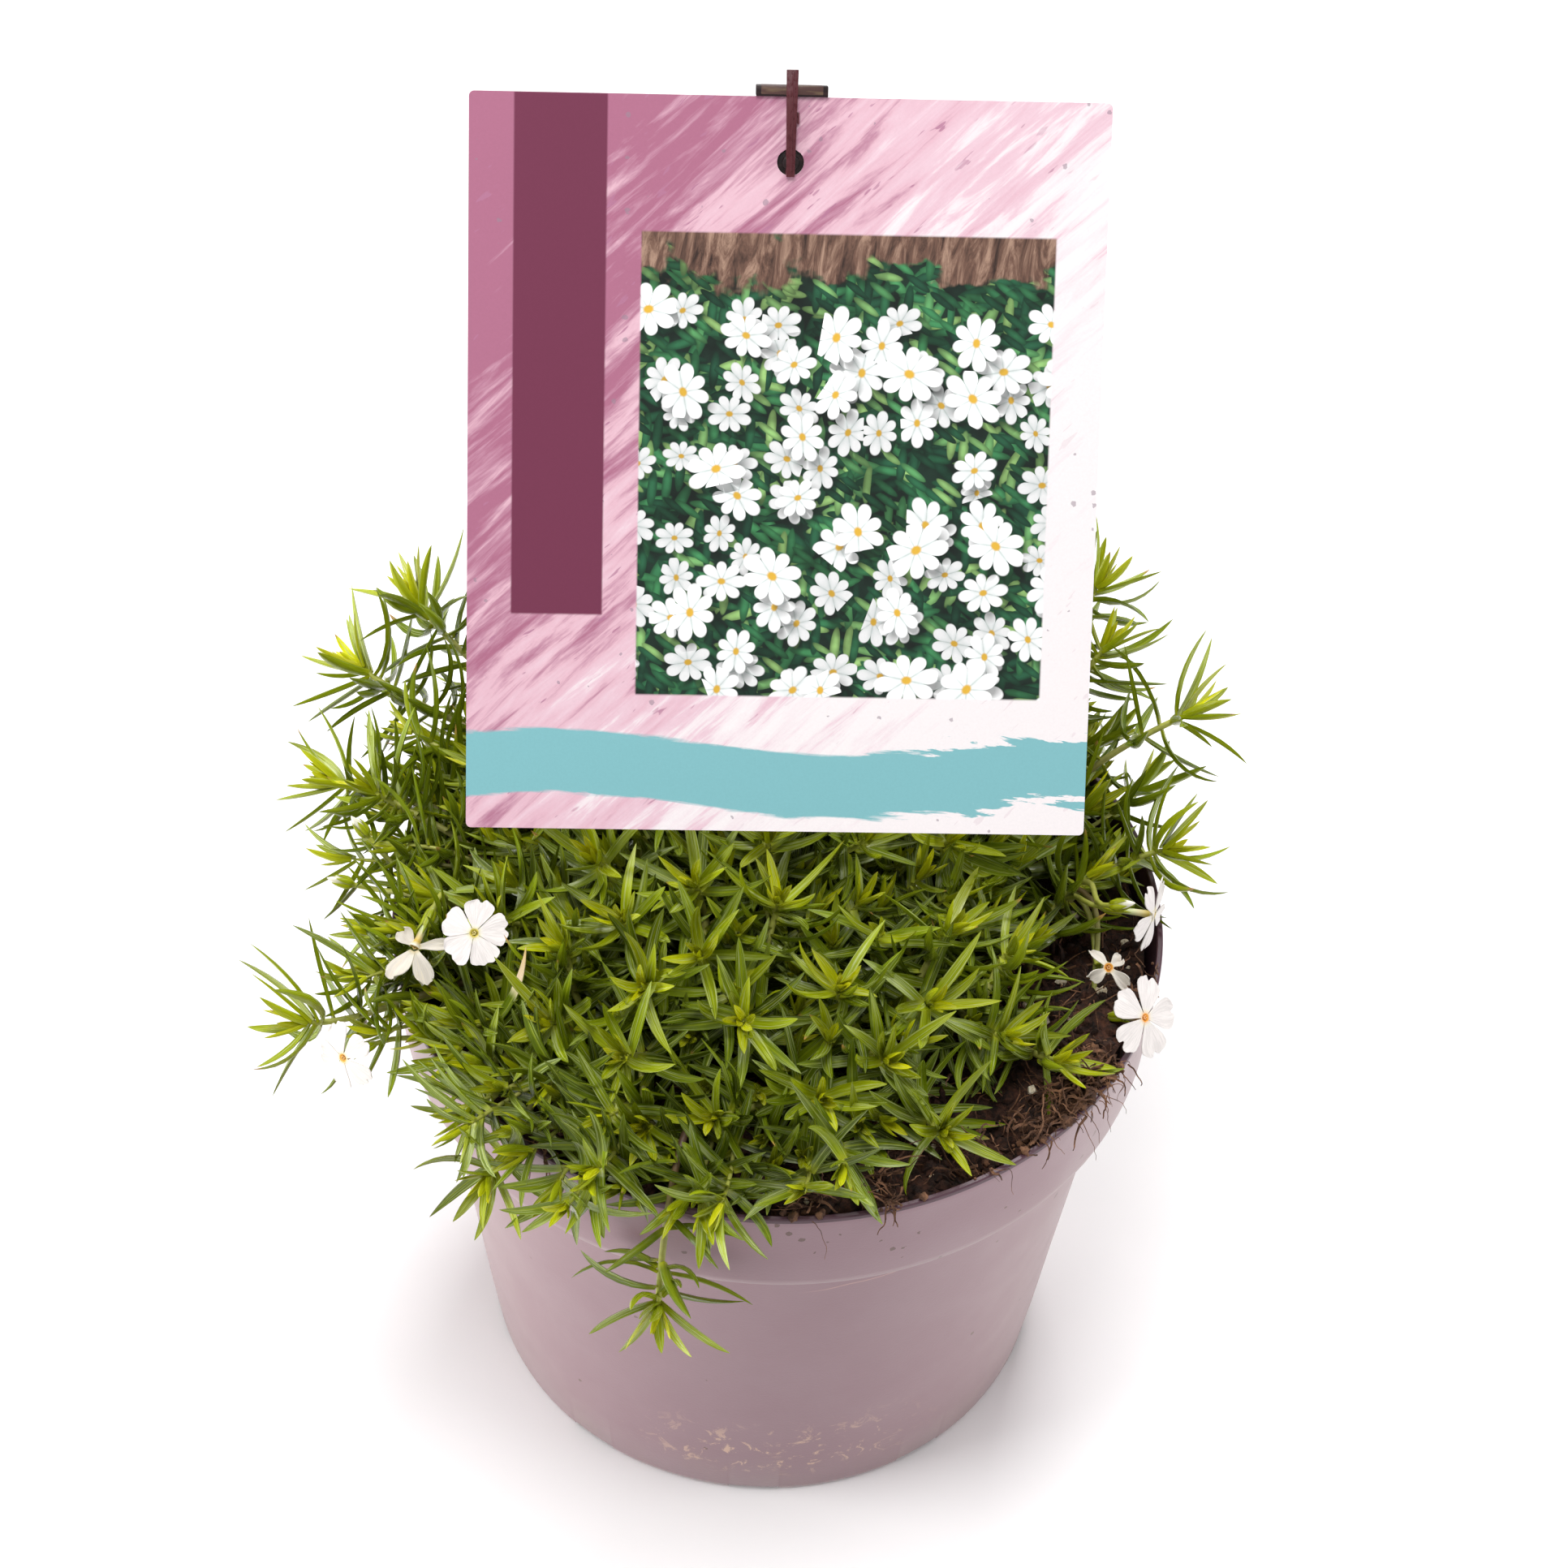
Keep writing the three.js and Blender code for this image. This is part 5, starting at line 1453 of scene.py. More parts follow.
def makeCorolla(name, flower, draw):
    wilt, warmth, crumple = flower["look"]
    tubeFacing, (facing, petals), parts = facingTurn(flower["facing"]), petalWays(flower), []

    def add(points, faces, facing=facing, **labels):
        labels = {"along": 0, "across": 0, "eye": 0, "tube": 0, **labels, "wilt": wilt, "warmth": warmth,
                  "tone": draw(0, 1)}
        labels = {label: np.broadcast_to(value, len(points)) for label, value in labels.items()}
        parts.append((points @ facing.T + np.array(flower["at"]), faces, 0, labels))

    for angle, length, width in petals:
        grid, v, u = petalGrid(flower, length, width, crumple, draw)
        if wilt > 0.3:
            grid = wiltedPetal(grid, v, wilt, draw)
        turn = np.array([(math.cos(angle), math.sin(angle), 0), (-math.sin(angle), math.cos(angle), 0), (0, 0, 1)])
        points, faces = thickSheet(grid @ turn, corolla["thickness"])
        along, across = (np.tile(np.broadcast_to(way, grid.shape[:2]).ravel(), 2) for way in (v, u))
        add(points, faces, along=along, across=across, eye=np.clip(0.5 - along * 6, 0, 0.5))

    # the tube, and the throat that it opens into
    profile = [(0, -flower["tube"]), (0.72, -flower["tube"]), (0.8, -flower["tube"] / 2), (0.9, -1.4),
               (1.25, -0.3), (1.3, -0.05), (1.05, 0.02), (0.62, -0.35), (0.5, -1.6), (0, -1.8)]
    points, faces = lathe(profile, ringAngles(20))
    height, radius = points[:, 2], np.hypot(points[:, 0], points[:, 1])
    inner = (height > -1.9) & (radius < 1.2)
    add(points, faces, tubeFacing, tube=np.where(inner, 0.0, np.clip(-height / 3, 0, 1)),
        eye=np.where(inner, 1.0, 0.0), along=np.where(inner, 0.0, 0.3))
    bead = [(0, -0.45), (0.18, -0.3), (0.24, 0), (0.16, 0.3), (0, 0.42)]
    for i in range(corolla["anthers"]):
        points, faces = lathe(bead, ringAngles(8))
        angle = 2 * math.pi * (i + draw(0, 0.5)) / corolla["anthers"]
        points = points + [0.36 * math.cos(angle), 0.36 * math.sin(angle), draw(-0.5, 0.05)]
        add(points, faces, eye=0.8)
    return closedPiece(name.replace("flower", "corolla"), parts, [petalWhite], 75)


for i, (name, flower) in enumerate(flowers.items()):
    finishPiece(makeCorolla(name, flower, seededDraws(500 + i)), [name])
print("flowers made:", len(flowers))


# ---- the pot ----

potLook = {
    "segments": 240,
    "lipRings": 3,  # the rim's last rings have the inner colour
    "notches": 10,
    "notchWidth": 13,
    "notchHeight": 1.6,
    "notchFrom": 68,
    "drains": 6,
    "drainRadius": 4,
    "drainCircle": 40,
}


def makePot():
    outside = [
        (0, 0), (30, 0), (60, 0), (potLook["notchFrom"] - 0.05, 0), (potLook["notchFrom"], 0), (70.2, 0),
        (71.4, 0.35), (72.2, 1.1), (72.6, 2.4), (74.9, 19), (78, 45), (81.4, 72), (84.6, 98), (86.4, 112),
        (87.1, 116.4), (88.3, 117.3), (91.2, 117.6), (92.6, 118), (93.2, 118.8), (93.6, 121), (94.2, 131),
        (94.8, 143), (95, 144.9), (94.85, 145.75), (94.5, 146),
    ]
    inside = [
        (93.7, 146), (93.45, 145.8), (93.35, 145.2), (92.9, 138), (92.2, 128), (91.8, 121), (91.2, 120),
        (87.5, 118.6), (85.6, 117.4), (84.8, 112), (83, 98), (79.8, 72), (76.4, 45), (73.3, 19), (71, 5),
        (70.3, 3.4), (68.6, 2.4), (50, 2.4), (0, 2.4),
    ]
    step = 2 * math.pi / potLook["segments"]
    half = math.asin(potLook["notchWidth"] / 2 / pot["baseRadius"])
    middles = ringAngles(potLook["notches"]) + math.pi / potLook["notches"]
    sides = [m + s * (half + nudge) for m in middles for s in (-1, 1) for nudge in (-0.0004, 0.0004)]
    regular = [a for a in ringAngles(potLook["segments"]) if min(abs(a - s) for s in sides) > step * 0.3]
    angles = np.array(sorted(regular + sides))
    points, faces = lathe(outside + inside, angles)
    angle = np.arctan2(points[:, 1], points[:, 0]) % (2 * math.pi)
    radius = np.hypot(points[:, 0], points[:, 1])
    nearest = np.min(np.abs(angle[:, None] - middles), axis=1)
    inNotch = (nearest < half) & (radius > potLook["notchFrom"] - 0.01) & (points[:, 2] < potLook["notchHeight"])
    isOutside = np.arange(len(points)) < 1 + len(angles) * (len(outside) - 1)
    points[inNotch & isOutside, 2] = potLook["notchHeight"]
    outer = len(outside) - potLook["lipRings"]
    index = [0] * (len(angles) * outer) + [1] * (len(faces) - len(angles) * outer)
    piece = closedPiece("nurseryPot", [(points, faces, index, {})],
                        [potMaterial(), potInsideMaterial()], 35)
    drill, drillFaces = lathe([(0, -2), (potLook["drainRadius"], -2), (potLook["drainRadius"], 5), (0, 5)],
                              ringAngles(32))
    places = [[potLook["drainCircle"] * math.cos(way), potLook["drainCircle"] * math.sin(way), 0]
              for way in ringAngles(potLook["drains"])]
    drill = closedPiece("drill", [(drill + place, drillFaces, 0, {}) for place in places], [potInsideMaterial()])
    cut = piece.modifiers.new("drains", "BOOLEAN")
    cut.operation, cut.object, cut.solver = "DIFFERENCE", drill, "EXACT"
    settle(piece)
    bpy.data.objects.remove(drill)
    return piece


finishPiece(makePot(), ["pot"])
print("pot made")


# ---- the soil ----

soilLook = {
    "segments": 200,
    "edgeDrop": 3,
    "crumbsPerSquareMetre": 330000,
    "crumbSizes": (0.4, 2.6),
    "fibres": 620,
    "perlite": 26,
    "heap": 8.5,
    "wads": [  # where peat and fibres spill over the rim: degrees, spread, how many fibres
        (-12, 5, 14), (-29, 3, 40), (-33, 4, 70), (-39, 4, 60), (-46, 5, 36), (-55, 4, 12), (-72, 5, 34),
        (-84, 4, 14), (-124, 5, 20),
    ],
    "heaps": [(1, -26, 20, 66, 20), (0.7, -78, 9, 74, 14)],  # share, degrees, spread, where it begins, its slope
}


def peatLevel(x, y):
    def rise(begin, slope):
        return max(0.0, min(1.0, (out - begin) / slope))

    out, angle = math.hypot(x, y), math.degrees(math.atan2(y, x))
    lumps = noise.fractal(Vector((x, y, 3)) / 9, 1, 2, 4) * 1.5 + noise.noise(Vector((x, y, 9)) / 2.6) * 0.5
    level = soilHeight(x, y) + lumps
    heap = sum(share * math.exp(-((angle - middle) / spread) ** 2) * rise(begin, slope)
               for share, middle, spread, begin, slope in soilLook["heaps"])
    return level - soilLook["edgeDrop"] * rise(80, 11) + soilLook["heap"] * heap


def makeSoil():
    rings = [0, 6, 12, 18, 24, 30, 36, 41, 46, 50, 54, 57, 60, 63, 66, 69, 72, 74.5, 77, 79.5, 82, 84, 86, 88, 89.6,
             91]
    profile = [(0, 2.7), (68, 2.7), (70, 4.9), (84.6, 117), (91.1, 121.5), (91.6, 130)]
    profile += [(r, 140) for r in reversed(rings)]
    points, faces = lathe(profile, ringAngles(soilLook["segments"]))
    top = points[:, 2] > 135
    points[top, 2] = [peatLevel(x, y) for x, y in points[top, :2]]
    out = np.hypot(points[:, 0], points[:, 1])
    bearing = np.degrees(np.arctan2(points[:, 1], points[:, 0]))
    seen = np.interp(bearing, [-180, -140, -125, 0, 25, 60], [0.4, 0.4, 1, 1, 0.4, 0.4])
    share = np.where(top, seen * np.interp(out, [0, 40, 60, 88, 91], [0.15, 0.3, 1, 1, 0]), 0)
    return closedPiece("rootBall", [(points, faces, 0, {"share": share})], [peatDark], 60)


def crumbShapes():
    shapes = bpy.data.collections.new("crumbShapes")
    for i, stretch in enumerate([(1, 1, 0.8), (1.5, 0.8, 0.6), (2.4, 0.5, 0.4), (0.9, 0.7, 1)]):
        draw = seededDraws(700 + i)
        lump = bmesh.new()
        bmesh.ops.create_icosphere(lump, subdivisions=1, radius=1)
        for corner in lump.verts:
            corner.co = corner.co * draw(0.7, 1.25) * Vector(stretch)
        mesh = bpy.data.meshes.new(f"crumb{i}")
        lump.to_mesh(mesh)
        lump.free()
        shapes.objects.link(bpy.data.objects.new(mesh.name, mesh))
    return shapes


# a fibre that tapers towards its end
def taperedLine(points, aside, thickness, endShare):
    points = np.array(points)
    shares = np.linspace(0, 1, len(points))
    return {"points": points, "sideways": unitRows(np.cross(np.gradient(points, axis=0), aside), 1e-9),
            "halfWidth": thickness / 2 * mix(1, endShare, shares), "along": shares}


# a loose fibre that wanders over the soil
def fibreLine(start, way, length, thickness, draw):
    points, heading, steps = [np.array(start, float)], unit(way), 8
    for i in range(steps):
        heading = unit(heading + np.array([draw(-0.5, 0.5), draw(-0.5, 0.5), draw(-0.35, 0.35)]))
        step = points[-1] + heading * length / steps
        step[2] = max(step[2], peatLevel(*step[:2]) + thickness)
        points.append(step)
    return taperedLine(points, (0.31, 0.2, 0.93), thickness, 0.35)


def soilFibres():
    draw, lines = seededDraws(900), []
    while len(lines) < soilLook["fibres"]:
        out, bearing = draw(48, 90), draw(-180, 180)
        if (bearing > 10 or bearing < -140) and draw(0, 1) > 0.45:  # fewer of them where leaves hide the soil
            continue
        x, y = out * math.cos(math.radians(bearing)), out * math.sin(math.radians(bearing))
        length = draw(5, 22)
        way = (draw(-1, 1), draw(-1, 1), draw(-0.1, 0.35))
        line = fibreLine((x, y, peatLevel(x, y) + draw(0, 1)), way, length, draw(0.25, 0.8), draw)
        if np.hypot(*line["points"][:, :2].T).max() < 91:
            lines.append(line)
    return lines


# a fibre of a wad on the rim, which drops off once it is outside
def wadLine(angle, draw):
    out, thickness = draw(84, 96.5), 0.25 + 0.9 * draw(0, 1) ** 2
    point = np.array([out * math.cos(angle), out * math.sin(angle), 146.5 + draw(0, 2.2)])
    heading, points = unit((draw(-1, 1), draw(-1, 1), draw(-0.3, 0.3))), []
    stretch = draw(0.5, 1) * draw(0.6, 1.5)
    for i in range(11):
        out = math.hypot(*point[:2])
        if out < 95.8:
            floor = pot["height"] + 0.3 if out > 92.8 else peatLevel(*point[:2])
            point[2] = max(point[2], floor + thickness / 2)
        elif point[2] < pot["height"] + 0.5:
            point[:2] *= max(1, (95.6 + thickness / 2) / out)
        points.append(point)
        sink = 0.45 if out > pot["rimRadius"] else 0.15
        heading = unit(heading + [draw(-0.4, 0.4), draw(-0.4, 0.4), draw(-0.35, 0.35) - 0.7 * sink])
        point = point + heading * stretch
    return taperedLine(points, (0.1, 0.2, 0.97), thickness, 0.4)


def spilledFibres():
    draw = seededDraws(950)
    return [wadLine(math.radians(middle + spread * draw(-1, 1) * draw(0, 1)), draw)
            for middle, spread, count in soilLook["wads"] for i in range(count)]


rootBall = makeSoil()
crumbs = rootBall.copy()
crumbs.data = rootBall.data.copy()
crumbs.name = "peatCrumbs"
bpy.context.scene.collection.objects.link(crumbs)
shapedBy(crumbs, strewing, Pieces=crumbShapes(), Density=float(soilLook["crumbsPerSquareMetre"]),
         Smallest=soilLook["crumbSizes"][0] * mm, Largest=soilLook["crumbSizes"][1] * mm, Seed=4, Finish=peatDark)
finishPiece(rootBall, ["soil"])
finishPiece(crumbs)
for name, lines in (("peatFibres", soilFibres()), ("spilledFibres", spilledFibres())):
    fibres = shapedBy(lineObject(name, lines), sweeping, Section=fibreSection, Finish=fibreBrown,
                      Sharp_Angle=math.radians(80))
    finishPiece(fibres)


# uneven lumps at given places (x, y, z, radius)
def makeLumps(name, places, material):
    parts = []
    for x, y, z, radius in places:
        lump = bmesh.new()
        bmesh.ops.create_icosphere(lump, subdivisions=2, radius=radius)
        for corner in lump.verts:
            corner.co *= 1 + 0.6 * noise.noise(corner.co * 1.3 + Vector((len(parts), 0, 0)))
        lump.verts.ensure_lookup_table()
        points = np.array([tuple(corner.co) for corner in lump.verts]) + [x, y, z]
        parts.append((points, [[corner.index for corner in face.verts] for face in lump.faces], 0, {}))
        lump.free()
    return closedPiece(name, parts, [material], 60)


def perlitePlaces():
    draw = seededDraws(800)
    for i in range(soilLook["perlite"]):
        angle, out = math.radians(draw(-95, 25)), draw(58, 88)
        x, y = out * math.cos(angle), out * math.sin(angle)
        radius = draw(0.6, 1.5)
        yield x, y, peatLevel(x, y) + 0.7 * radius, radius


def clodPlaces():
    draw = seededDraws(820)
    for middle, spread, count in soilLook["wads"]:
        for i in range(count):
            angle, out = math.radians(middle + spread * draw(-1, 1)), draw(84, 94.6)
            radius = draw(0.2, 1) ** 2 + 0.3
            x, y = out * math.cos(angle), out * math.sin(angle)
            floor = pot["height"] if out > 92.6 else min(peatLevel(x, y), pot["height"])
            yield x, y, floor + radius * draw(0.2, 0.7), radius


finishPiece(makeLumps("perliteGrains", perlitePlaces(), perliteMaterial()))
finishPiece(makeLumps("spilledClods", clodPlaces(), fibreBrown))
print("soil made")


# ---- the label card ----

cardPrint = {  # places in shares of the card's width and height, from its lower left corner
    "panel": (0.27, 0.92, 0.19, 0.82),
    "band": (0.07, 0.215, 0.30, 1.0),
    "wave": (0.035, 0.125),
    "mauve": "#a56680",
    "pink": "#d8aebc",
    "paper": "#ebe4e5",
    "plum": "#6c2d47",
    "teal": "#7bb3b9",
}


# plain round blossoms in the cells of a pattern: masks for petals and eyes, a shade, and where the centre is
def blossomGroup():
    tree, given = newTree("blossoms", "Shader",
                          {"Vector": "Vector", "Petals": 8.0, "Reach": 0.46, "Share": 0.8, "Soft": 0.012},
                          {"Petal": "Float", "Eye": "Float", "Shade": "Float", "Centre": "Vector"})
    cells = addNode(tree, "ShaderNodeTexVoronoi", {"Vector": given["Vector"], "Scale": 1.0, "Randomness": 0.8},
                    voronoi_dimensions="2D")
    centre = Value(cells["Position"])
    x, y, _ = centre.node("VectorMath", 0, {0: given["Vector"], 1: centre}, operation="SUBTRACT").parts()
    red, green, blue = Value(cells["Color"]).parts("Color")
    # each blossom is tilted its own way, so it is a little narrower one way
    angle = y.math("ARCTAN2", x)
    tilt = (red * 50.0 + angle * 2.0).math("COSINE")
    distance = Value(cells["Distance"]) * (tilt * 0.13 + 1.1)
    swing = (green * 6.28 + angle) * (given["Petals"] * 0.5)
    lobes = swing.math("COSINE").math("ABSOLUTE").math("POWER", 0.42)
    reach = given["Reach"] * (blue * 0.3 + 0.75)
    edge = reach * (lobes * 0.55 + 0.45)
    there = (red < given["Share"]) * (centre.noise(0.42, 1.0) > 0.43)
    soft = given["Soft"]
    petal = (distance - edge).ranged(soft * -1.0, soft, 1, 0, "LINEAR")
    share = distance.math("DIVIDE", reach)
    eye = share.ranged(0.12, 0.19, 1, 0, "LINEAR")
    shade = lobes * 0.35 + share.ranged(0.1, 0.8, 0.42, 0.66) + tilt * (share * 0.07)
    addNode(tree, "NodeGroupOutput",
            {"Petal": petal * there, "Eye": eye * there, "Shade": shade, "Centre": centre})
    return tree


blossoms = blossomGroup()


# long narrow leaves lying one way, each with its own green: a colour and a mask
def pictureLeaves(place, turn, size):
    cells = addNode(place.tree, "ShaderNodeTexVoronoi",
                    {"Vector": place.stretched((0.34 / size, 0.085 / size, 1), turn), "Scale": 1.0},
                    voronoi_dimensions="2D")
    distance, (red, green, _) = Value(cells["Distance"]), Value(cells["Color"]).parts("Color")
    color = red.ramp((0, "#163a2a"), (0.4, "#22563a"), (0.75, "#3d8150"), (0.95, "#8db56c"))
    mask = distance.ranged(0.34, 0.4, 1, 0) * (green < 0.7)
    return toned(color, distance.ranged(0.05, 0.45, 1.2, 0.45)), mask


# a mask for a rectangle of the print
def onRegion(u, v, region):
    left, right, low, high = cardPrint[region]
    return u.within(left, right) * v.within(low, high)


def brushed(flat, turn, stretch, detail):
    return flat.stretched(stretch, math.radians(turn)).noise(1.0, detail, 0.65, 0.4)


# a wash of mauve in one corner that thins out in dry brush strokes
def printedGround(flat, u, v):
    wash = u * -1.15 + (v * 0.75 + 0.62)
    wash = (brushed(flat, -38, (4, 34, 1), 5.0) - 0.5) * 1.9 + wash
    ground = wash.ramp((0, cardPrint["paper"]), (0.22, "#e7d9dd"), (0.34, "#dfc0cb"), (0.62, cardPrint["pink"]),
                       (0.8, "#b78398"), (0.95, cardPrint["mauve"]))
    flecks = brushed(flat, -38, (16, 70, 1), 2.0).ranged(0.66, 0.69)
    ground = blend(flecks * wash.ranged(0.1, 0.7, 0.15, 0.85), ground, "#a9708c")
    inMetres = flat.node("VectorMath", 0, {0: flat, 1: (card["width"] * mm, card["height"] * mm, 0)},
                         operation="MULTIPLY")
    dots = placed(speckles, inMetres, Scale=420.0, Size=0.28, Share=0.1)[0]
    return blend(dots * 0.6, ground, "#8d7a88")


# pale blossoms over green leaves, in three layers that each cast a shadow on what lies below
def printedPicture(flat, v):
    high = cardPrint["panel"][3]
    meadow = flat.mapped(Scale=(card["width"], card["height"], 1))
    clouds = meadow.noise(0.09, 3.0)
    picture = blend(clouds, "#0d1613", "#173024")
    for turn, size in ((0.5, 1.2), (-0.8, 1.1), (1.3, 1.0), (-1.4, 0.9), (0.1, 1.0), (2.2, 0.8)):
        green, mask = pictureLeaves(meadow, turn, size)
        picture = blend(mask, picture, green)
    picture = toned(picture, clouds.ranged(0.35, 0.65, 0.45, 1.15))
    rough = meadow.stretched((0.35, 0.07, 1), 0.15).noise(1.0, 5.0, 0.7, 0.8)
    bark = rough.ramp((0.35, "#33231e"), (0.5, "#6d5043"), (0.65, "#a58673"))
    height = meadow.noise(0.06, 4.0) * 0.25 + v
    picture = blend(height.ranged(high + 0.07, high + 0.085), picture, bark)
    layers = ((0.084, 0.85, 7.3, 0.74), (0.07, 0.8, 3.1, 0.9), (0.063, 0.62, 11.9, 1.0))
    for scale, share, shift, light in layers:
        place = meadow.mapped(Location=(shift, shift, 0), Scale=(scale, scale, 1))
        beside = place.node("VectorMath", 0, {0: place, 1: (-0.07, 0.12, 0)})
        petal, eye, shade, centre = placed(blossoms, place, Share=share, Soft=0.014)
        shadow = placed(blossoms, beside, Share=share, Soft=0.1)[0]
        lowEnough = centre.parts()[1] < shift + scale * card["height"] * (high - 0.1)
        picture = blend(shadow * 0.6 * lowEnough, picture, "#0b1410")
        white = shade.ramp((0.4, "#9fb0aa"), (0.72, "#e6ebea"), (0.95, "#ffffff"))
        picture = blend(petal * lowEnough, picture, toned(blend(eye, white, "#dcae3c"), light))
    return picture


def cardFrontMaterial():
    look = Look("cardPrint", Roughness=0.38, Coat_Weight=0.15)
    flat, place = Value(addNode(look.tree, "ShaderNodeUVMap", uv_map="print")["UV"]), look.place()
    u, v, _ = flat.parts()
    design = blend(onRegion(u, v, "panel"), printedGround(flat, u, v), printedPicture(flat, v))
    design = blend(onRegion(u, v, "band"), design, cardPrint["plum"])
    # a painted wave across the foot
    height = (u * 7.0 + 0.6).math("SINE") * -0.016 + v
    height = (brushed(flat, 4, (7, 60, 1), 5.0) - 0.5) * u.ranged(0.55, 1.0, 0.02, 0.16) + height
    design = blend(height.within(*cardPrint["wave"], 0.002), design, cardPrint["teal"])
    return look.made(Base_Color=mottled(design, place, 1800.0, 0.05),
                     Normal=place.noise(900.0).bumped(0.05, 0.0002))


def cardBackMaterial():
    look = Look("cardStock", Roughness=0.6)
    place = look.place()
    stock = speckled(mottled("#efecea", place, 900.0, 0.03), place, 260.0, 0.16, 0.06, "#b9b2ae")
    return look.made(Base_Color=stock, Normal=place.noise(1600.0).bumped(0.12, 0.0002))


# a rounded rectangle, anticlockwise from its right side
def cardOutline():
    halfX, halfZ, corner = card["width"] / 2, card["height"] / 2, card["corner"]
    outline = []
    for turn, signX, signZ in ((0, 1, 1), (90, -1, 1), (180, -1, -1), (270, 1, -1)):
        for angle in np.radians(np.linspace(turn, turn + 90, 7)):
            outline.append((signX * (halfX - corner) + corner * math.cos(angle),
                            signZ * (halfZ - corner) + corner * math.sin(angle)))
        x, z = outline[-1]
        nextX, nextZ = (-x, z) if turn % 180 == 0 else (x, -z)
        outline += [(mix(x, nextX, share), mix(z, nextZ, share)) for share in np.linspace(0, 1, 14)[1:-1]]
    return np.array(outline)


# quads between the punched hole and the outline, on both faces, with the edges between them
def makeCard():
    outline = cardOutline()
    ways = np.arctan2(outline[:, 1] - holeHeight, outline[:, 0])
    hole = np.stack([card["holeRadius"] * np.cos(ways), holeHeight + card["holeRadius"] * np.sin(ways)], axis=1)
    steps = (0, 0.02, 0.25, 0.6, 1)
    count, half = len(outline), card["thickness"] / 2
    flat = np.concatenate([hole + (outline - hole) * step for step in steps])
    points = np.concatenate([np.insert(flat, 1, y, axis=1) for y in (-half, half)])
    last = (len(steps) - 1) * count
    # bands of quads: where each one's inner and outer ring start, and its material
    bands = [(base + start, base + start + count, index) for base, index in ((0, 0), (len(flat), 1))
             for start in range(0, last, count)]
    bands += [(start, len(flat) + start, 1) for start in (0, last)]
    faces = [[a + i, a + (i + 1) % count, b + (i + 1) % count, b + i]
             for a, b, _ in bands for i in range(count)]
    index = np.repeat([index for _, _, index in bands], count)
    world = np.array([onCard(*point) for point in points])
    piece = closedPiece("pictureLabel", [(world, faces, index, {})],
                        [cardFrontMaterial(), cardBackMaterial()], 30)
    layer = piece.data.uv_layers.new(name="print")
    for loop in piece.data.loops:
        x, y, z = points[loop.vertex_index]
        layer.data[loop.index].uv = (x / card["width"] + 0.5, z / card["height"] + 0.5)
    return piece


finishPiece(makeCard(), ["label_card"])
print("card made")


# ---- the label's stake and clip ----

clip = {
    "tongueWidth": 2.7,
    "tongueThickness": 1.0,
    "tongueAbove": 6,
    "tongueBelowHole": 3.2,
    "tongueTaper": 0.7,
    "barWidth": 16,
    "barHeight": 2.4,
    "barDepth": 4.2,
    "sleeveWidth": 13.8,  # a paler sleeve round the bar, which leaves its ends and its lower edge bare
    "sleeveHeight": 2,
    "socketDepth": 1.8,
    "nubRadius": 1.9,
    "plateRadius": 4,
    "edge": 0.18,
}
stakePlum = stakeMaterial()


def makeShaft():
    half, back = stake["width"] / 2, stake["depth"] / 2
    corners = [(-half, back - 0.2), (-half, -back + 0.2), (-half + 0.2, -back), (half - 0.2, -back),
               (half, -back + 0.2), (half, back - 0.2), (half - 0.2, back), (0.5 * half, back),
               (0.18, back - stake["groove"]),
               (-0.18, back - stake["groove"]), (-0.5 * half, back), (-half + 0.2, back)]
    section = sectionObject("shaftSection", corners)
    points = knottedCurve(stakeKnots, 24)
    count = len(points)
    piece = lineObject("stakeShaft", [{"points": points, "sideways": np.tile([1.0, 0, 0], (count, 1)),
                                       "halfWidth": np.ones(count), "along": np.linspace(0, 1, count)}])
    return shapedBy(piece, sweeping, Section=section, Finish=stakePlum, Sharp_Angle=math.radians(35))


def box(width, depth, height, middle):
    block = bmesh.new()
    bmesh.ops.create_cube(block, size=1)
    for corner in block.verts:
        corner.co = corner.co * Vector((width, depth, height)) + Vector(middle)
    return block


# a round piece that lies along Y
def disc(segments, radius, backRadius, depth, middle):
    block = bmesh.new()
    bmesh.ops.create_cone(block, cap_ends=True, segments=segments, radius1=radius, radius2=backRadius, depth=depth,
                          matrix=Matrix.Translation(middle) @ Matrix.Rotation(math.pi / 2, 4, "X"))
    return block


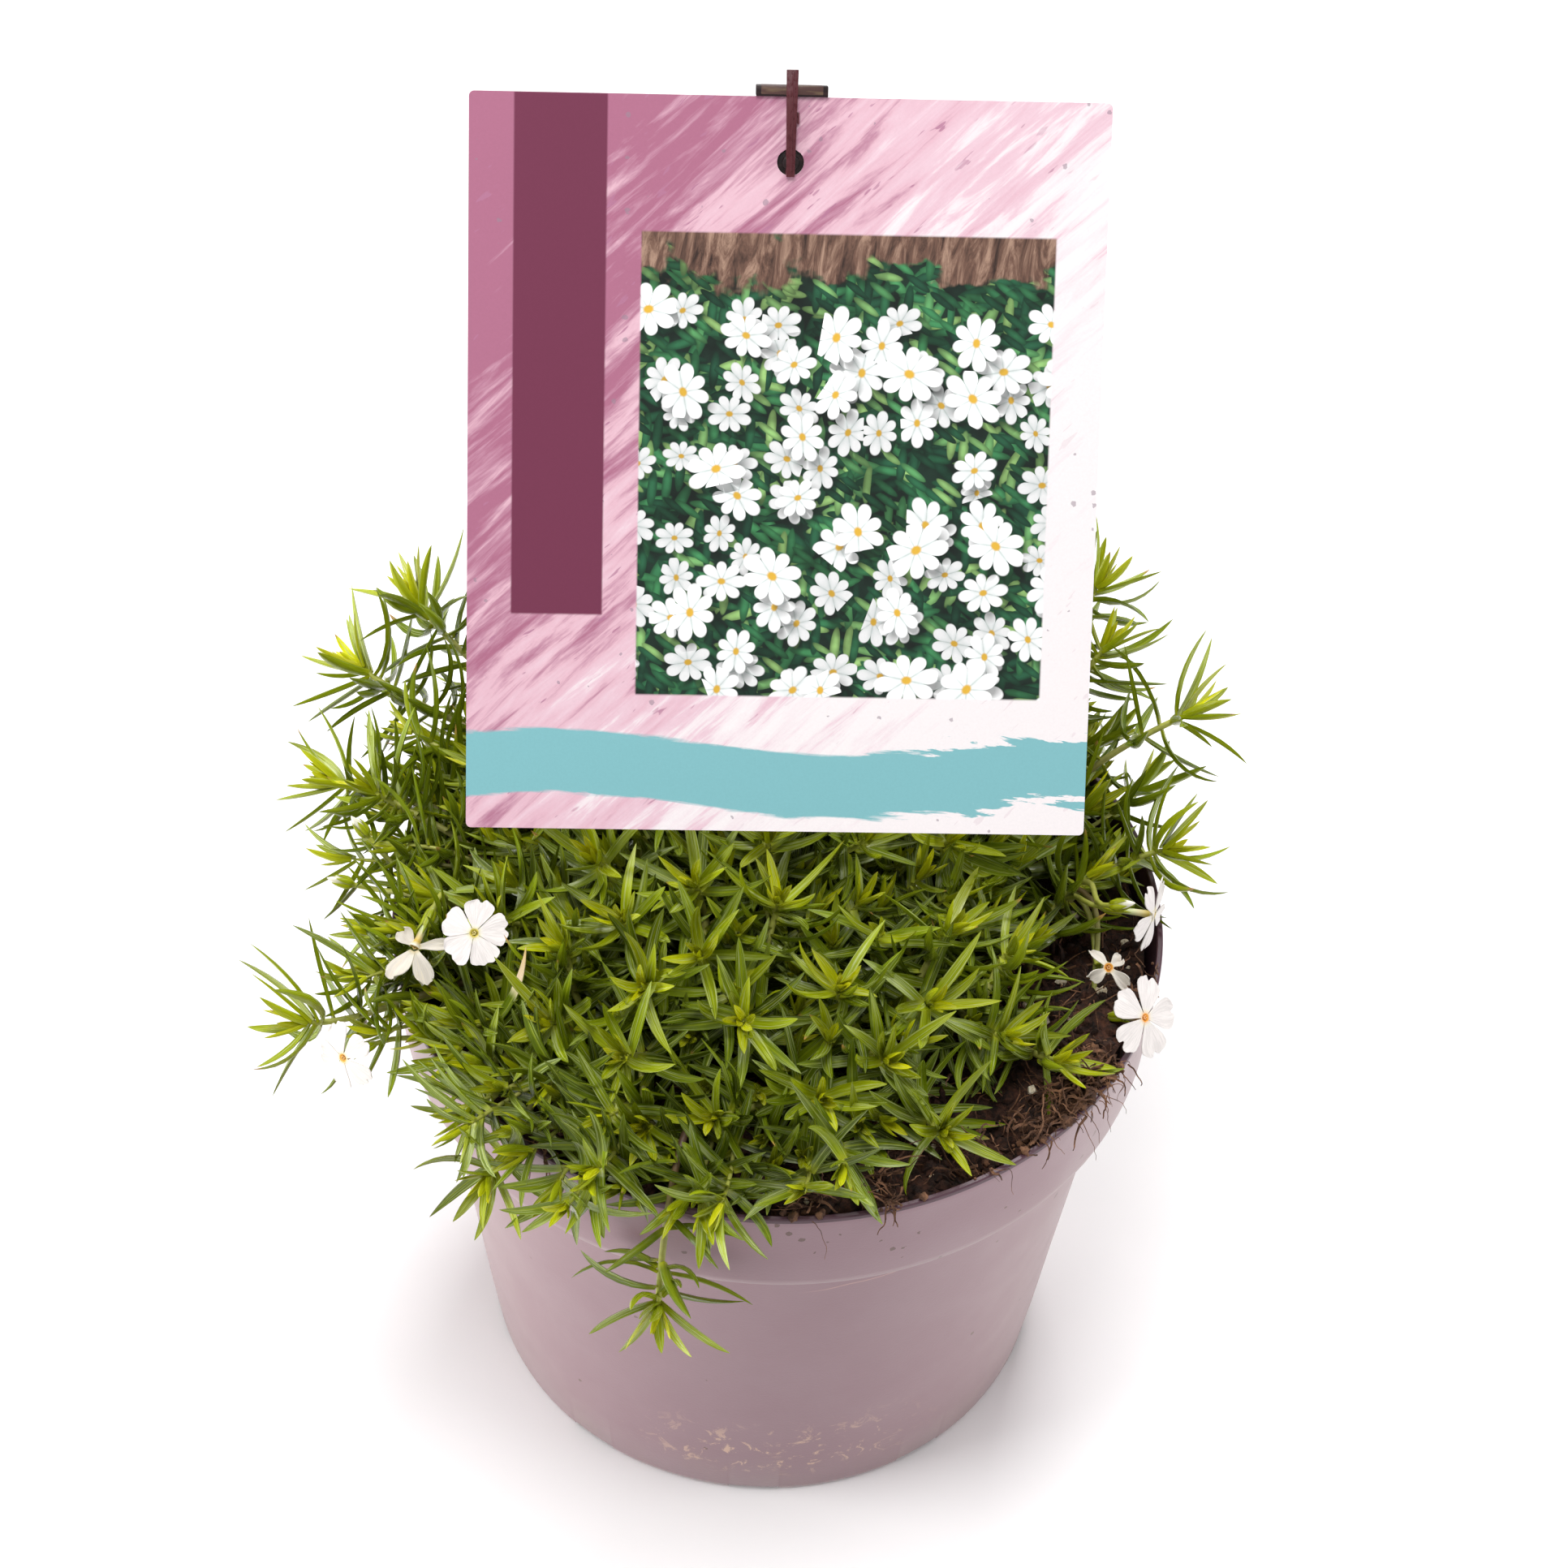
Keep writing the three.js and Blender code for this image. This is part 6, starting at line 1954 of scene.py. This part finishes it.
def makeClip():
    top = card["height"] / 2
    front = -card["thickness"] / 2 - 0.3 - clip["tongueThickness"] / 2
    foot, head = holeHeight - clip["tongueBelowHole"], top + clip["tongueAbove"]
    width = clip["tongueWidth"]
    tongue = box(width, clip["tongueThickness"], head - foot, (0, front, (head + foot) / 2))
    for corner in tongue.verts:
        if corner.co.z < holeHeight:
            corner.co.x *= clip["tongueTaper"]
    ridge = box(0.35, 0.3, head - foot - 1, (0.1, front - clip["tongueThickness"] / 2, (head + foot) / 2))
    barb = box(0.5, 0.7, 2.6, (width / 2 + 0.1, front, top - 4.6))
    nub = disc(32, clip["nubRadius"], clip["nubRadius"] - 0.15, 1.3, (0, front + 0.65, holeHeight))
    plate = disc(48, clip["plateRadius"], clip["plateRadius"], 1.4, (0, 1.3, holeHeight))
    barBehind = (front + stemBack) / 2 + 0.5
    bar = box(clip["barWidth"], clip["barDepth"], clip["barHeight"],
              (0, barBehind, top + 0.06 + clip["barHeight"] / 2))
    sleeve = box(clip["sleeveWidth"], clip["barDepth"] + 0.16, clip["sleeveHeight"],
                 (0, barBehind, top + 0.5 + clip["sleeveHeight"] / 2))
    # the bar's ends are open sockets
    for face in [face for face in bar.faces if abs(face.normal.x) > 0.9]:
        bmesh.ops.inset_region(bar, faces=[face], thickness=0.45, depth=0)
        moved = bmesh.ops.extrude_discrete_faces(bar, faces=[face])["faces"][0]
        inward = -np.sign(moved.calc_center_median().x)
        bmesh.ops.translate(bar, verts=moved.verts, vec=(inward * clip["socketDepth"], 0, 0))
    piece = bpy.data.objects.new("stakeClip", bpy.data.meshes.new("stakeClip"))
    bpy.context.scene.collection.objects.link(piece)
    whole = bmesh.new()
    for part, index in ((sleeve, 1), (bar, 2), (plate, 2), (nub, 2)):
        for face in part.faces:
            face.material_index = index
    for part in (tongue, ridge, barb, nub, plate, bar, sleeve):
        bmesh.ops.transform(part, matrix=Matrix.Scale(mm, 4) @ cardPlace, verts=part.verts)
        mesh = bpy.data.meshes.new("part")
        part.to_mesh(mesh)
        part.free()
        whole.from_mesh(mesh)
        bpy.data.meshes.remove(mesh)
    bmesh.ops.recalc_face_normals(whole, faces=whole.faces)
    whole.to_mesh(piece.data)
    whole.free()
    # the third finish is near-black painted shade: on the plate seen through the hole, the nub in it, and the bar's
    # bare ends and lower edge
    for material in (stakePlum, barMaterial("barOlive", "#4b3430", "#76634a"),
                     barMaterial("plateDark", "#1d1011", "#3a2425")):
        piece.data.materials.append(material)
    rounding = piece.modifiers.new("edges", "BEVEL")
    rounding.width, rounding.segments, rounding.limit_method = clip["edge"] * mm, 2, "ANGLE"
    settle(piece)
    piece.data.shade_smooth()
    piece.data.set_sharp_from_angle(angle=math.radians(40))
    return piece


finishPiece(makeShaft(), ["label_stake"])
finishPiece(makeClip())
print("stake made")


# ---- floor, light and camera ----

studio = {
    "floorSize": 3.0,
    "worldLight": 0.3,
    "lights": [  # name, place, size, watts
        ("topLight", (-0.1, -0.2, 1.2), 0.5, 7.8),
        ("backLight", (0.15, 0.6, 1.0), 0.35, 6.5),
        ("leftLight", (-0.95, -0.25, 0.35), 0.6, 9.4),
        ("rightLight", (0.95, -0.2, 0.35), 0.6, 4.6),
    ],
    "cameraPlace": (0, -0.662, 0.897),
    "cameraDown": 46.8,
    "cameraRoll": 2.5,
    "focalPixels": 5000,
    "imagePixels": 1932,
}


def makeStudio():
    scene = bpy.context.scene
    scene.view_settings.view_transform = "Standard"
    half = studio["floorSize"] / 2
    floor = bmesh.new()
    bmesh.ops.create_grid(floor, x_segments=12, y_segments=12, size=half)
    mesh = bpy.data.meshes.new("floor")
    floor.to_mesh(mesh)
    floor.free()
    ground = bpy.data.objects.new("floor", mesh)
    mesh.materials.append(floorMaterial())
    scene.collection.objects.link(ground)

    world = bpy.data.worlds.new("studioWorld")
    world.use_nodes = True
    sky = world.node_tree.nodes["Background"].inputs
    sky["Color"].default_value = (1, 1, 1, 1)
    sky["Strength"].default_value = studio["worldLight"]
    scene.world = world
    for name, place, size, watts in studio["lights"]:
        lamp = bpy.data.lights.new(name, "AREA")
        lamp.energy, lamp.size = watts, size
        holder = bpy.data.objects.new(name, lamp)
        holder.location = place
        aim = Vector((0, 0, 0.14)) - Vector(place)
        holder.rotation_euler = aim.to_track_quat("-Z", "Y").to_euler()
        scene.collection.objects.link(holder)

    lens = bpy.data.cameras.new("camera")
    lens.sensor_fit, lens.sensor_width = "HORIZONTAL", 36
    lens.lens = studio["focalPixels"] / studio["imagePixels"] * lens.sensor_width
    lens.clip_start = 0.05
    down, roll = math.radians(studio["cameraDown"]), math.radians(studio["cameraRoll"])
    forward = Vector((0, math.cos(down), -math.sin(down)))
    level = Vector((1, 0, 0))
    upright = level.cross(forward)
    right = level * math.cos(roll) + upright * math.sin(roll)
    upright = upright * math.cos(roll) - level * math.sin(roll)
    camera = bpy.data.objects.new("camera", lens)
    camera.matrix_world = (Matrix.Translation(studio["cameraPlace"])
                           @ Matrix((right, upright, -forward)).transposed().to_4x4())
    scene.collection.objects.link(camera)
    scene.camera = camera


makeStudio()
for helper in (leafSection, stemSection, fibreSection, bpy.data.objects["shaftSection"]):
    bpy.data.objects.remove(helper)
print("studio made")
